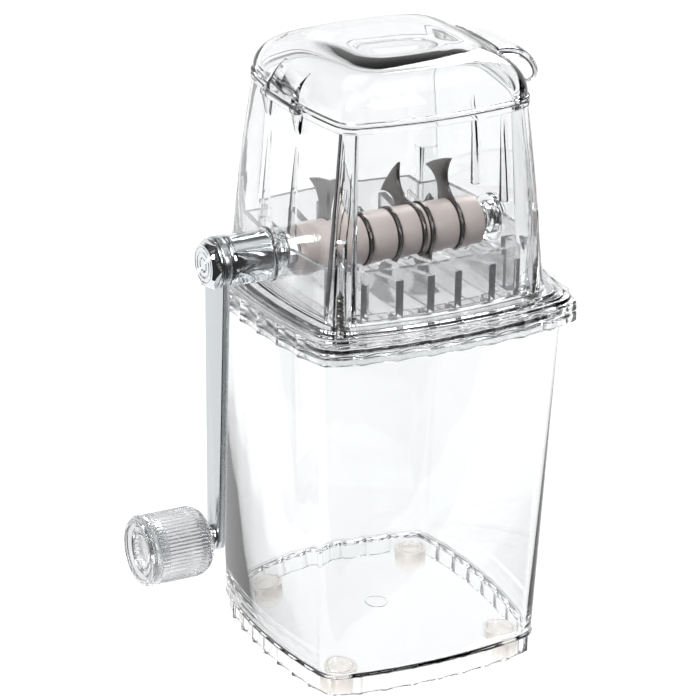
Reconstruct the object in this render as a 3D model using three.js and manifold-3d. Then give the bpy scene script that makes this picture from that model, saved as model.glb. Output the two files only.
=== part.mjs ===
// Hand-cranked ice crusher: a clear container, a clear crushing head with a hinged lid,
// a shaft of steel picks and plastic spacers, and a chromed crank with a clear knob.
// Millimetres, +Z up. The lengths below are measured from the container's own axis and
// from the surface it stands on; the whole assembly is moved along X at the end, so that
// the origin lies under the middle of its box.
import * as THREE from "three";
import { mergeVertices } from "three/addons/utils/BufferGeometryUtils.js";
import Module from "manifold-3d";

const wasm = await Module();
wasm.setup();

// ---- driving dimensions -------------------------------------------------------------
const GAP = 0.3;              // clearance kept between pieces that touch
const CLEAR_WALL = 2.4;       // thickness of the clear mouldings

// plan outline: a square with bowed sides and rounded corners, as shares of its half width
const SIDE_BOW = 0.105;
const CORNER_RADIUS = 0.196;
const FLUTES_PER_SIDE = 8;
const POINTS_PER_FLUTE = 2;
const POINTS_PER_FLUTED_SIDE = FLUTES_PER_SIDE * POINTS_PER_FLUTE;
const POINTS_PER_PLAIN_SIDE = 12;
const FLUTE_DEPTH = 1.4;

// container
const SKIRT_BOTTOM = 2.4;
const FLOOR_UNDERSIDE = 9.3;
const FLOOR_TOP = 11.5;
const FLOOR_HALF = 51.9;
const SKIRT_HALF = 49.7;
const WALL_HALF_LOW = 51.5;
const WALL_HALF_HIGH = 57;
const RIM_HALF = 61.1;
const RIM_HEIGHT = 4.1;
const CONTAINER_TOP = 150.3;

// feet
const FOOT_RADIUS = 7;
const FOOT_SPACING = 36;
const FOOT_BORE_RADIUS = 5.3;
const FOOT_FLOOR = 3;

// head
const BASE_BOTTOM = CONTAINER_TOP + GAP;
const BASE_TOP = BASE_BOTTOM + RIM_HEIGHT;
const BASE_PLATE = 1.9;
const BEAD_HALF = 59.6;
const FLANGE_HALF = 57.7;
const FLANGE_THICKNESS = 1.2;
const FLANGE_STEP_HALF = 55.2;
const FLANGE_STEP_RISE = 1.1;
const HOPPER_BOTTOM = BASE_TOP + GAP;
const HOPPER_ROOT = 158;
const HOPPER_TOP = 232.3;
const HOPPER_HALF_ROOT = 50.1;
const HOPPER_HALF_TOP = 44;
const HOPPER_CURVE = 1.6;
const POST_SPACING = 41;
const POST_SPACING_TOP = 35.8;
const POST_RADIUS = 5.6;
const POST_RADIUS_TOP = 3.2;
const POST_TOP = 229.5;
const POST_BORE_RADIUS = 2.15;
const POST_BORE_TOP = 189.4;
const RIB_SPACING = 11;
const RIB_THICKNESS = 2.8;
const RIB_START = 10;         // above the shaft's axis
const RIB_END = 45;

// lid and its hinge
const LID_BOTTOM = HOPPER_TOP + GAP;
const LID_HALF = 44.6;
const LID_EDGE = 2.2;
const LID_RISE = 16.4;
const LID_SHOULDER = 0.45;
const HINGE_X = -45.4;
const HINGE_Z = 232.45;
const KNUCKLE_RADIUS = 2.2;
const KNUCKLE_HALF_WIDTH = 10;
const EAR_WIDTH = 3.7;
const PIN_RADIUS = 1.1;

// shaft train, along X
const SHAFT_Z = 172.1;
const SHAFT_RADIUS = 4;
const SHAFT_BORE_RADIUS = 4.25;
const SHAFT_HEX_FLATS = 8;
const SHAFT_HEX_END = 43.3;
const SHAFT_FAR_END = 48;
const SHAFT_CRANK_END = -75.7;
const DRUM_RADIUS = 10;
const DRUM_START = -37.9;
const DRUM_END = 38.2;
const PICK_THICKNESS = 1.5;
const PICK_HUB_RADIUS = 10.8;
const PICK_TIP_RADIUS = 26.6;
const PICK_EDGE_RADIUS = 25.2;
const PICK_TIP_HALF_ANGLE = 23;
const PICK_FACE_GAP = 0.2;
const PICKS = [
  { x: -24.5, angle: 78 },
  { x: -11.6, angle: 300 },
  { x: 1.0, angle: 265 },
  { x: 11.6, angle: 40 },
  { x: 15.1, angle: 250 },
  { x: 28.0, angle: 66 },
];
const BUSH_RADIUS = 6.5;
const BUSH_FLANGE_RADIUS = 10.6;
const BUSH_INNER_END = 43.8;
const BOSS_RADIUS = 9.4;
const BOSS_INNER_END = 44.3;

// crank
const SLEEVE_RADIUS = 10.2;
const SLEEVE_INNER_END = -51.9;
const SLEEVE_OUTER_END = -70.1;
const ARM_THICKNESS = 3.1;
const ARM_THROW = 113.7;
const ARM_END_RADIUS = 5.2;
const NUT_FLATS = 17.6;
const NUT_FACE_X = -78;
const WASHER_THICKNESS = 1;
const WASHER_RADIUS = 9.6;

// knob, measured along X from the container's axis
const KNOB_INNER_END = -75.6;
const KNOB_OUTER_END = -105.6;
const KNOB_RADIUS = 13.4;
const KNOB_BEAD_RADIUS = 14.1;
const SPINDLE_RADIUS = 3.4;
const SPINDLE_HEAD_X = -97;
const SPINDLE_HEAD_RADIUS = 5.6;

// comb
const COMB_HALF = 46.4;
const COMB_ARM_HALF = 34;
const COMB_TOP = 177;
const COMB_WALL = 2;
const COMB_FLOOR = 1.6;
const COMB_OPENING_HALF = 38;
const COMB_OPENING_ARM_HALF = 30;
const COMB_FIN_BOTTOM = 150.9;
const COMB_FIN_THICKNESS = 3;
const COMB_FIN_CLEARANCE = 1.6;
const COMB_FINS_X = [-31.6, -18.1, -5.3, 6.3, 21.5, 33.2];

// lid tab
const TAB_TIP_X = 58.5;
const TAB_HALF_WIDTH = 17;

// ---- materials ----------------------------------------------------------------------
function finish(color, roughness, metalness, opacity = 1) {
  const transparent = opacity < 1;
  const flatShading = true;
  return new THREE.MeshStandardMaterial({ color, roughness, metalness, opacity, transparent, flatShading });
}

const clearPlastic = finish(0xeef0f2, 0.08, 0, 0.3);
const spacerPlastic = finish(0xcfc5c1, 0.4, 0);
const footRubber = finish(0xd9d0c6, 0.6, 0);
const pickSteel = finish(0x7b7876, 0.3, 1);
const shaftSteel = finish(0xc9cbcc, 0.2, 1);
const chrome = finish(0xdadddf, 0.08, 1);
const screwSteel = finish(0x9a9894, 0.35, 1);

// ---- solids -------------------------------------------------------------------------
const AXIS_X = new THREE.Vector3(1, 0, 0);
const AXIS_Y = new THREE.Vector3(0, 1, 0);
const AXIS_Z = new THREE.Vector3(0, 0, 1);
const ALONG_X = new THREE.Matrix4().makeBasis(AXIS_Y, AXIS_Z, AXIS_X);

// Welds a geometry into one closed surface and turns it the right way out.
function weld(geometry) {
  const bare = geometry.clone();
  bare.deleteAttribute("normal");
  bare.deleteAttribute("uv");
  const merged = mergeVertices(bare, 1e-4);
  const position = merged.getAttribute("position");
  const corners = [new THREE.Vector3(), new THREE.Vector3(), new THREE.Vector3()];
  const kept = [];
  let volume = 0;
  for (let i = 0; i < merged.index.count; i += 3) {
    const face = [0, 1, 2].map((k) => merged.index.getX(i + k));
    if (new Set(face).size < 3) continue;
    face.forEach((vertex, k) => corners[k].fromBufferAttribute(position, vertex));
    volume += corners[0].dot(corners[1].clone().cross(corners[2]));
    kept.push(face);
  }
  merged.setIndex(kept.flatMap(([a, b, c]) => (volume < 0 ? [a, c, b] : [a, b, c])));
  return merged;
}

function toSolid(geometry) {
  const welded = weld(geometry);
  const vertProperties = new Float32Array(welded.getAttribute("position").array);
  const triVerts = new Uint32Array(welded.index.array);
  return new wasm.Manifold(new wasm.Mesh({ numProp: 3, vertProperties, triVerts }));
}

function toGeometry(solid) {
  const mesh = solid.getMesh();
  const geometry = new THREE.BufferGeometry();
  const position = new THREE.BufferAttribute(new Float32Array(mesh.vertProperties), 3);
  geometry.setAttribute("position", position);
  geometry.setIndex(new THREE.BufferAttribute(new Uint32Array(mesh.triVerts), 1));
  return geometry;
}

function joined(...solids) {
  return solids.reduce((whole, solid) => whole.add(solid));
}

function cut(body, ...tools) {
  return tools.reduce((whole, tool) => whole.subtract(tool), body);
}

// A block between two corners.
function block(low, high) {
  const [x0, y0, z0] = low;
  const [x1, y1, z1] = high;
  const geometry = new THREE.BoxGeometry(x1 - x0, y1 - y0, z1 - z0);
  return toSolid(geometry.translate((x0 + x1) / 2, (y0 + y1) / 2, (z0 + z1) / 2));
}

// A cylinder or cone frustum between two points.
function rod(from, to, radius, radiusTo = radius, segments = 20) {
  const start = new THREE.Vector3(...from);
  const path = new THREE.Vector3(...to).sub(start);
  const geometry = new THREE.CylinderGeometry(radiusTo, radius, path.length(), segments);
  geometry.translate(0, path.length() / 2, 0);
  geometry.applyQuaternion(new THREE.Quaternion().setFromUnitVectors(AXIS_Y, path.clone().normalize()));
  geometry.translate(start.x, start.y, start.z);
  return toSolid(geometry);
}

// A turned piece on the X axis. The profile is a list of [x, radius]; it may touch the axis.
function turned(profile, segments = 24) {
  const onAxis = profile[0][1] === 0;
  const points = profile.map(([x, radius]) => new THREE.Vector2(radius, x));
  if (!onAxis) points.push(points[0].clone());
  const geometry = new THREE.LatheGeometry(points, segments);
  const toX = new THREE.Matrix4().makeBasis(AXIS_Y, AXIS_X, AXIS_Z.clone().negate());
  return weld(geometry.applyMatrix4(toX));
}

// A plate in the YZ plane, from x = 0 to x = thickness.
function plateAlongX(shape, thickness, curveSegments = 6) {
  const options = { depth: thickness, bevelEnabled: false, curveSegments };
  return weld(new THREE.ExtrudeGeometry(shape, options).applyMatrix4(ALONG_X));
}

function polygon(points) {
  return new THREE.Shape(points.map(([u, v]) => new THREE.Vector2(u, v)));
}

function hexagon(flats, PathClass = THREE.Path) {
  const corners = Array.from({ length: 6 }, (unused, k) => {
    const angle = (k * Math.PI) / 3;
    return new THREE.Vector2(Math.cos(angle), Math.sin(angle)).multiplyScalar(flats / Math.sqrt(3));
  });
  return new PathClass(corners);
}

// ---- plan outline -------------------------------------------------------------------
// The point and outward normal at a share of the way round one side, from corner to corner.
function sidePoint(half, bow, corner, share) {
  const reach = half - bow;
  const bowRadius = (reach * reach + bow * bow) / (2 * bow);
  const b = 2 * (bowRadius - half);
  const c = (bowRadius - half) ** 2 - (bowRadius - corner) ** 2;
  const fillet = (-b + Math.sqrt(b * b - 8 * c)) / 4;
  const bowAngle = Math.atan2(fillet, fillet + bowRadius - half);
  const filletLength = corner * (Math.PI / 4 - bowAngle);
  const bowLength = 2 * bowRadius * bowAngle;
  const along = share * (bowLength + 2 * filletLength) - filletLength;
  if (along < 0) return arcPoint(fillet, -fillet, corner, -bowAngle + along / corner);
  if (along > bowLength) return arcPoint(fillet, fillet, corner, bowAngle + (along - bowLength) / corner);
  return arcPoint(half - bowRadius, 0, bowRadius, -bowAngle + along / bowRadius);
}

function arcPoint(x, y, radius, angle) {
  const normal = new THREE.Vector2(Math.cos(angle), Math.sin(angle));
  return { point: new THREE.Vector2(x, y).addScaledVector(normal, radius), normal };
}

// A closed loop of points at one height, fluted if a depth is given. Ridges meet at the corners.
function loop(half, z, options = {}) {
  const { flute = 0, bow = SIDE_BOW, corner = CORNER_RADIUS, perSide = POINTS_PER_FLUTED_SIDE } = options;
  const points = [];
  for (let side = 0; side < 4; side += 1) {
    for (let k = 0; k < perSide; k += 1) {
      const { point, normal } = sidePoint(half, half * bow, half * corner, k / perSide);
      const inFlute = (k % POINTS_PER_FLUTE) / POINTS_PER_FLUTE;
      point.addScaledVector(normal, flute * (2 * inFlute - 1) ** 2);
      point.rotateAround(new THREE.Vector2(), (side * Math.PI) / 2);
      points.push(new THREE.Vector3(point.x, point.y, z));
    }
  }
  return points;
}

function plainLoop(half, z) {
  return loop(half, z, { perSide: POINTS_PER_PLAIN_SIDE });
}

// Skins a row of loops. An open row is capped to its centre at both ends, a closed one joins up.
function skin(loops, closed = false) {
  const count = loops[0].length;
  const positions = loops.flat().flatMap((p) => [p.x, p.y, p.z]);
  const index = [];
  const bands = closed ? loops.length : loops.length - 1;
  for (let band = 0; band < bands; band += 1) {
    const low = band * count;
    const high = ((band + 1) % loops.length) * count;
    for (let i = 0; i < count; i += 1) {
      const next = (i + 1) % count;
      index.push(low + i, low + next, high + next, low + i, high + next, high + i);
    }
  }
  if (!closed) {
    const last = (loops.length - 1) * count;
    const centre = loops.length * count;
    positions.push(0, 0, loops[0][0].z, 0, 0, loops[loops.length - 1][0].z);
    for (let i = 0; i < count; i += 1) {
      const next = (i + 1) % count;
      index.push(centre, next, i, last + i, last + next, centre + 1);
    }
  }
  const geometry = new THREE.BufferGeometry();
  geometry.setAttribute("position", new THREE.Float32BufferAttribute(positions, 3));
  geometry.setIndex(index);
  return geometry;
}

function atCorners(spacing, make) {
  return [[-1, -1], [1, -1], [1, 1], [-1, 1]].map(([sx, sy]) => make(sx * spacing, sy * spacing));
}

// ---- container and feet -------------------------------------------------------------
function makeContainer() {
  const skirtInner = SKIRT_HALF - 1.9;
  const ledgeBottom = FLOOR_TOP - 0.9;
  const rimBottom = CONTAINER_TOP - RIM_HEIGHT;
  const rimInner = RIM_HALF - 1.7;
  const rimRoof = CONTAINER_TOP - 1.9;
  const inner = (half) => half - CLEAR_WALL + 0.2;
  const shell = skin([
    loop(skirtInner, FLOOR_UNDERSIDE),
    loop(skirtInner, SKIRT_BOTTOM),
    loop(SKIRT_HALF, SKIRT_BOTTOM, { flute: FLUTE_DEPTH }),
    loop(SKIRT_HALF, ledgeBottom, { flute: FLUTE_DEPTH }),
    loop(FLOOR_HALF, ledgeBottom),
    loop(FLOOR_HALF, FLOOR_TOP),
    loop(WALL_HALF_LOW, FLOOR_TOP + 0.6),
    loop(WALL_HALF_HIGH, rimRoof),
    loop(rimInner, rimRoof),
    loop(rimInner, rimBottom),
    loop(RIM_HALF, rimBottom, { flute: FLUTE_DEPTH }),
    loop(RIM_HALF, CONTAINER_TOP, { flute: FLUTE_DEPTH }),
    loop(inner(WALL_HALF_HIGH), CONTAINER_TOP),
    loop(inner(WALL_HALF_LOW), FLOOR_TOP),
  ]);
  const pegRadius = FOOT_BORE_RADIUS - GAP;
  const pegBottom = FOOT_FLOOR + 2.2;
  const pegTop = FLOOR_UNDERSIDE + 0.5;
  const pegs = atCorners(FOOT_SPACING, (x, y) => rod([x, y, pegBottom], [x, y, pegTop], pegRadius));
  return toGeometry(joined(toSolid(shell), ...pegs));
}

// A rubber cup, open at the top, that grips a peg under the floor.
function makeFoot() {
  const taper = 0.3;
  const cup = rod([0, 0, 0], [0, 0, FLOOR_UNDERSIDE - GAP], FOOT_RADIUS - taper, FOOT_RADIUS, 20);
  return toGeometry(cut(cup, rod([0, 0, FOOT_FLOOR], [0, 0, FLOOR_UNDERSIDE], FOOT_BORE_RADIUS)));
}

// ---- crushing head ------------------------------------------------------------------
function makeHeadBase() {
  const plateBottom = BASE_TOP - BASE_PLATE;
  const spigotHalf = WALL_HALF_HIGH - CLEAR_WALL - 0.4;
  const spigotBottom = BASE_BOTTOM - 7;
  const lipInner = RIM_HALF - 1.7;
  const beadTop = BASE_TOP + 1.1;
  const opening = { bow: 0.02, corner: 0.3 };
  const openingHalf = COMB_OPENING_HALF + 2.4;
  const ring = skin([
    loop(RIM_HALF, BASE_BOTTOM, { flute: FLUTE_DEPTH }),
    loop(RIM_HALF - 0.3, BASE_TOP - 0.4),
    loop(BEAD_HALF, beadTop),
    loop(BEAD_HALF - 1.2, beadTop),
    loop(BEAD_HALF - 1.4, BASE_TOP),
    loop(openingHalf, BASE_TOP, opening),
    loop(openingHalf, plateBottom, opening),
    loop(spigotHalf - 2, plateBottom),
    loop(spigotHalf - 2, spigotBottom),
    loop(spigotHalf - 0.4, spigotBottom),
    loop(spigotHalf, plateBottom),
    loop(lipInner, plateBottom),
    loop(lipInner, BASE_BOTTOM),
  ], true);
  const hole = (x, y) => rod([x, y, plateBottom - 1], [x, y, BASE_TOP + 1], POST_BORE_RADIUS);
  const holes = atCorners(POST_SPACING, hole);
  return toGeometry(cut(toSolid(ring), ...holes));
}

function hopperHalf(z) {
  const share = (z - HOPPER_ROOT) / (HOPPER_TOP - HOPPER_ROOT);
  return HOPPER_HALF_ROOT - (HOPPER_HALF_ROOT - HOPPER_HALF_TOP) * share ** HOPPER_CURVE;
}

function hopperWall() {
  const levels = [0, 0.3, 0.65, 1].map((share) => HOPPER_ROOT + share * (HOPPER_TOP - HOPPER_ROOT));
  const flangeTop = HOPPER_BOTTOM + FLANGE_THICKNESS;
  const stepTop = flangeTop + FLANGE_STEP_RISE;
  const wallFoot = HOPPER_HALF_ROOT + 1.2;
  return toSolid(skin([
    plainLoop(FLANGE_HALF, HOPPER_BOTTOM),
    plainLoop(FLANGE_HALF, flangeTop),
    plainLoop(FLANGE_STEP_HALF, flangeTop),
    plainLoop(FLANGE_STEP_HALF - 0.3, stepTop),
    plainLoop(wallFoot, stepTop),
    ...levels.map((z) => plainLoop(hopperHalf(z), z)),
    ...levels.reverse().map((z) => plainLoop(hopperHalf(z) - CLEAR_WALL, z)),
    plainLoop(hopperHalf(HOPPER_ROOT) - CLEAR_WALL, HOPPER_BOTTOM),
  ], true));
}

// A slender wedge that climbs the inner face of a side wall above the shaft boss.
function wallRib(side, y) {
  const low = SHAFT_Z + RIB_START;
  const high = SHAFT_Z + RIB_END;
  const lowX = hopperHalf(low) - 1;
  const highX = hopperHalf(high) - 1;
  const halfWidth = RIB_THICKNESS / 2;
  const profile = polygon([[lowX, low], [highX, high], [highX - 1.6, high], [lowX - 4.2, low]]);
  const geometry = new THREE.ExtrudeGeometry(profile, { depth: 2 * halfWidth, bevelEnabled: false });
  geometry.translate(0, 0, -halfWidth).rotateX(Math.PI / 2);
  if (side < 0) geometry.rotateZ(Math.PI);
  return toSolid(geometry.translate(0, y, 0));
}

function hingeEar(side) {
  const inner = side * (KNUCKLE_HALF_WIDTH + GAP);
  const outer = side * (KNUCKLE_HALF_WIDTH + GAP + EAR_WIDTH);
  const barrel = rod([HINGE_X, inner, HINGE_Z], [HINGE_X, outer, HINGE_Z], KNUCKLE_RADIUS);
  const wallX = HINGE_X + 1.8;
  const gussetTop = HINGE_Z - 0.6;
  const gussetFoot = HINGE_Z - 9;
  const gusset = polygon([
    [wallX, gussetTop], [HINGE_X - 1.8, gussetTop], [HINGE_X + 0.2, gussetFoot], [wallX, gussetFoot],
  ]);
  const geometry = new THREE.ExtrudeGeometry(gusset, { depth: EAR_WIDTH, bevelEnabled: false });
  geometry.rotateX(Math.PI / 2).translate(0, Math.max(inner, outer), 0);
  return joined(barrel, toSolid(geometry));
}

// Bores for the hinge pin and for whatever runs right through the walls on the shaft's axis.
function pinBore() {
  const reach = 2 * KNUCKLE_HALF_WIDTH;
  return rod([HINGE_X, -reach, HINGE_Z], [HINGE_X, reach, HINGE_Z], PIN_RADIUS + 0.2);
}

function throughX(radius) {
  return rod([-RIM_HALF, 0, SHAFT_Z], [RIM_HALF, 0, SHAFT_Z], radius, radius, 24);
}

function shaftBoss(side) {
  return rod([side * BOSS_INNER_END, 0, SHAFT_Z], [side * 49.5, 0, SHAFT_Z], BOSS_RADIUS, BOSS_RADIUS, 24);
}

function makeHopper() {
  const posts = atCorners(1, (sx, sy) => {
    const foot = [sx * POST_SPACING, sy * POST_SPACING, HOPPER_BOTTOM];
    const tip = [sx * POST_SPACING_TOP, sy * POST_SPACING_TOP, POST_TOP];
    return rod(foot, tip, POST_RADIUS, POST_RADIUS_TOP, 12);
  });
  const postBores = atCorners(POST_SPACING, (x, y) => {
    const foot = [x, y, HOPPER_BOTTOM - 1];
    return rod(foot, [x, y, POST_BORE_TOP], POST_BORE_RADIUS, POST_BORE_RADIUS, 12);
  });
  const ribs = [-1, 1].flatMap((side) => [-RIB_SPACING, RIB_SPACING].map((y) => wallRib(side, y)));
  const ears = [-1, 1].map(hingeEar);
  const bosses = [-1, 1].map(shaftBoss);
  const shaftHole = throughX(BUSH_RADIUS + GAP);
  const knuckleReach = KNUCKLE_HALF_WIDTH + GAP;
  const knuckleEnds = [-knuckleReach, knuckleReach].map((y) => [HINGE_X, y, HINGE_Z]);
  const knuckleRoom = rod(...knuckleEnds, KNUCKLE_RADIUS + GAP);
  const body = joined(hopperWall(), ...posts, ...ribs, ...ears, ...bosses);
  const base = block([-70, -70, HOPPER_BOTTOM - 5], [70, 70, HOPPER_BOTTOM]);
  return toGeometry(cut(body, ...postBores, shaftHole, knuckleRoom, pinBore(), base));
}

// A cross that stays clear of the corner posts, with its ends bowed like the hopper's walls.
function crossPrism(half, armHalf, low, high) {
  const cross = polygon([
    [-half, -armHalf], [-armHalf, -armHalf], [-armHalf, -half], [armHalf, -half],
    [armHalf, -armHalf], [half, -armHalf], [half, armHalf], [armHalf, armHalf],
    [armHalf, half], [-armHalf, half], [-armHalf, armHalf], [-half, armHalf],
  ]);
  const geometry = new THREE.ExtrudeGeometry(cross, { depth: high - low, bevelEnabled: false });
  const bowed = toSolid(skin([plainLoop(half, low), plainLoop(half, high)]));
  return toSolid(geometry.translate(0, 0, low)).intersect(bowed);
}

// The comb: an open frame that hangs between the posts, with fins that pass between the picks.
function makeComb() {
  const floorBottom = BASE_TOP + GAP;
  const slotRadius = BOSS_RADIUS + 0.8;
  const outer = crossPrism(COMB_HALF, COMB_ARM_HALF, floorBottom, COMB_TOP);
  const inside = COMB_HALF - COMB_WALL;
  const armInside = COMB_ARM_HALF - COMB_WALL;
  const hollow = crossPrism(inside, armInside, floorBottom + COMB_FLOOR, COMB_TOP + 1);
  const throat = crossPrism(COMB_OPENING_HALF, COMB_OPENING_ARM_HALF, floorBottom - 1, COMB_TOP);
  const shaftSlot = block([-RIM_HALF, -slotRadius, SHAFT_Z], [RIM_HALF, slotRadius, COMB_TOP + 1]);
  const frame = cut(outer, hollow, throat, shaftSlot, throughX(slotRadius));
  return toGeometry(joined(frame, ...COMB_FINS_X.map(combFin)));
}

function combFin(x) {
  const lowHalf = COMB_OPENING_HALF - 0.4;
  const reach = COMB_HALF - COMB_WALL / 2;
  const floor = BASE_TOP + GAP + COMB_FLOOR / 2;
  const top = COMB_TOP - 5;
  const shoulderY = DRUM_RADIUS + COMB_FIN_CLEARANCE + 1.5;
  const shoulder = SHAFT_Z - 6;
  const shape = polygon([
    [-lowHalf, COMB_FIN_BOTTOM], [lowHalf, COMB_FIN_BOTTOM], [lowHalf, floor], [reach, floor],
    [reach, top], [shoulderY, shoulder], [-shoulderY, shoulder],
    [-reach, top], [-reach, floor], [-lowHalf, floor],
  ]);
  const plate = plateAlongX(shape, COMB_FIN_THICKNESS).translate(x - COMB_FIN_THICKNESS / 2, 0, 0);
  const drumRoom = DRUM_RADIUS + COMB_FIN_CLEARANCE;
  const within = crossPrism(reach, COMB_ARM_HALF + 1.5, COMB_FIN_BOTTOM - 1, COMB_TOP);
  const drum = rod([x - 5, 0, SHAFT_Z], [x + 5, 0, SHAFT_Z], drumRoom, drumRoom, 24);
  return cut(toSolid(plate).intersect(within), drum);
}

function makeBush(outerEnd) {
  const flange = outerEnd - 1.5;
  return turned([
    [BUSH_INNER_END, SHAFT_BORE_RADIUS], [BUSH_INNER_END, BUSH_RADIUS], [flange, BUSH_RADIUS],
    [flange, BUSH_FLANGE_RADIUS], [outerEnd, BUSH_FLANGE_RADIUS], [outerEnd, SHAFT_BORE_RADIUS],
  ]);
}

// The far bush is a blind cup, so the shaft's end stays covered.
function makeFarBush() {
  const blindEnd = SHAFT_FAR_END + GAP;
  const outerEnd = blindEnd + 1.3;
  return turned([
    [blindEnd, 0], [blindEnd, SHAFT_BORE_RADIUS], [BUSH_INNER_END, SHAFT_BORE_RADIUS],
    [BUSH_INNER_END, BUSH_RADIUS], [outerEnd, BUSH_RADIUS], [outerEnd, 0],
  ]);
}

// A self-tapping screw that holds the base plate to a post, head down.
function makeScrew() {
  const thread = POST_BORE_RADIUS - GAP;
  const headBottom = BASE_TOP - BASE_PLATE - GAP - 2.2;
  const length = 170 - headBottom;
  const head = rod([0, 0, 0], [0, 0, 2.2], 3.6, 3.6, 16);
  const shank = rod([0, 0, 1], [0, 0, length - 1.5], thread, thread, 10);
  const point = rod([0, 0, length - 2], [0, 0, length], thread * 0.9, 0.4, 12);
  const driveSlot = [block([-2.6, -0.5, -1], [2.6, 0.5, 1]), block([-0.5, -2.6, -1], [0.5, 2.6, 1])];
  return toGeometry(cut(joined(head, shank, point), ...driveSlot).translate([0, 0, headBottom]));
}

// ---- lid ----------------------------------------------------------------------------
function domeLoops(half, bottom, rise, steps) {
  const loops = [];
  for (let k = 0; k < steps; k += 1) {
    const angle = (k / steps) * (Math.PI / 2);
    loops.push(plainLoop(half * Math.cos(angle) ** LID_SHOULDER, bottom + rise * Math.sin(angle)));
  }
  loops.push(plainLoop(half * 0.12, bottom + rise));
  return loops;
}

function lidDome() {
  const crown = LID_BOTTOM + LID_EDGE;
  const lipOuter = hopperHalf(HOPPER_TOP) - CLEAR_WALL - 0.5;
  const inside = domeLoops(lipOuter - 1.5, crown - 0.4, LID_RISE - CLEAR_WALL + 0.4, 5).reverse();
  const outside = domeLoops(LID_HALF, crown, LID_RISE, 6);
  return toSolid(skin([
    ...inside,
    plainLoop(lipOuter - 1.5, LID_BOTTOM - 1.8),
    plainLoop(lipOuter, LID_BOTTOM - 1.8),
    plainLoop(lipOuter, LID_BOTTOM),
    plainLoop(LID_HALF, LID_BOTTOM),
    ...outside,
  ]));
}

// The finger tab: a hooded lip that leaves the dome and droops over the far edge.
function lidTab() {
  const side = new THREE.Shape();
  const seam = LID_BOTTOM;
  side.moveTo(37.5, seam + 12.5);
  side.quadraticCurveTo(46, seam + 13, TAB_TIP_X - 6, seam + 7.5);
  side.quadraticCurveTo(TAB_TIP_X, seam + 3.5, TAB_TIP_X, seam - 4.6);
  side.lineTo(TAB_TIP_X - 2.1, seam - 4.6);
  side.quadraticCurveTo(TAB_TIP_X - 2.5, seam + 1.6, TAB_TIP_X - 7.3, seam + 5.4);
  side.quadraticCurveTo(45.5, seam + 10, 39.5, seam + 9.5);
  const depth = 2 * TAB_HALF_WIDTH;
  const sheet = new THREE.ExtrudeGeometry(side, { depth, bevelEnabled: false, curveSegments: 5 });
  sheet.translate(0, 0, -TAB_HALF_WIDTH).rotateX(Math.PI / 2);
  const plan = new THREE.Shape();
  plan.moveTo(35, -TAB_HALF_WIDTH);
  plan.lineTo(TAB_TIP_X - 9, -TAB_HALF_WIDTH);
  plan.quadraticCurveTo(TAB_TIP_X, -TAB_HALF_WIDTH, TAB_TIP_X, 0);
  plan.quadraticCurveTo(TAB_TIP_X, TAB_HALF_WIDTH, TAB_TIP_X - 9, TAB_HALF_WIDTH);
  plan.lineTo(35, TAB_HALF_WIDTH);
  const column = new THREE.ExtrudeGeometry(plan, { depth: 40, bevelEnabled: false, curveSegments: 6 });
  return toSolid(sheet).intersect(toSolid(column.translate(0, 0, LID_BOTTOM - 20)));
}

// The strap that carries the lid's knuckle, proud of the dome at the hinge.
function lidStrap() {
  const halfWidth = KNUCKLE_HALF_WIDTH;
  const profile = polygon([
    [HINGE_X - 1.8, HINGE_Z + 1], [HINGE_X - 1.2, HINGE_Z + 4.5], [-43, HINGE_Z + 9.5],
    [-39, HINGE_Z + 13], [-37.5, HINGE_Z + 11.5], [-43, HINGE_Z + 1],
  ]);
  const geometry = new THREE.ExtrudeGeometry(profile, { depth: 2 * halfWidth, bevelEnabled: false });
  geometry.rotateX(Math.PI / 2).translate(0, halfWidth, 0);
  const knuckle = rod([HINGE_X, -halfWidth, HINGE_Z], [HINGE_X, halfWidth, HINGE_Z], KNUCKLE_RADIUS);
  return joined(toSolid(geometry), knuckle);
}

function makeLid() {
  const inner = KNUCKLE_HALF_WIDTH;
  const outer = KNUCKLE_HALF_WIDTH + EAR_WIDTH + 2 * GAP;
  const earRoom = [-1, 1].map((side) =>
    rod([HINGE_X, side * inner, HINGE_Z], [HINGE_X, side * outer, HINGE_Z], KNUCKLE_RADIUS + GAP));
  return toGeometry(cut(joined(lidDome(), lidTab(), lidStrap()), ...earRoom, pinBore()));
}

function makeHingePin() {
  const reach = KNUCKLE_HALF_WIDTH + EAR_WIDTH;
  return toGeometry(rod([0, -reach, 0], [0, reach, 0], PIN_RADIUS, PIN_RADIUS, 16));
}

// ---- shaft train --------------------------------------------------------------------
function makeShaft() {
  const journals = rod([SHAFT_CRANK_END, 0, 0], [SHAFT_FAR_END, 0, 0], SHAFT_RADIUS);
  const section = hexagon(SHAFT_HEX_FLATS, THREE.Shape);
  const hex = plateAlongX(section, 2 * SHAFT_HEX_END).translate(-SHAFT_HEX_END, 0, 0);
  const ends = SHAFT_HEX_END + GAP;
  const middle = rod([-ends, 0, 0], [ends, 0, 0], 6);
  const core = rod([-ends - 1, 0, 0], [ends + 1, 0, 0], SHAFT_RADIUS * 0.9);
  return toGeometry(joined(cut(journals, middle), toSolid(hex), core));
}

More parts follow.
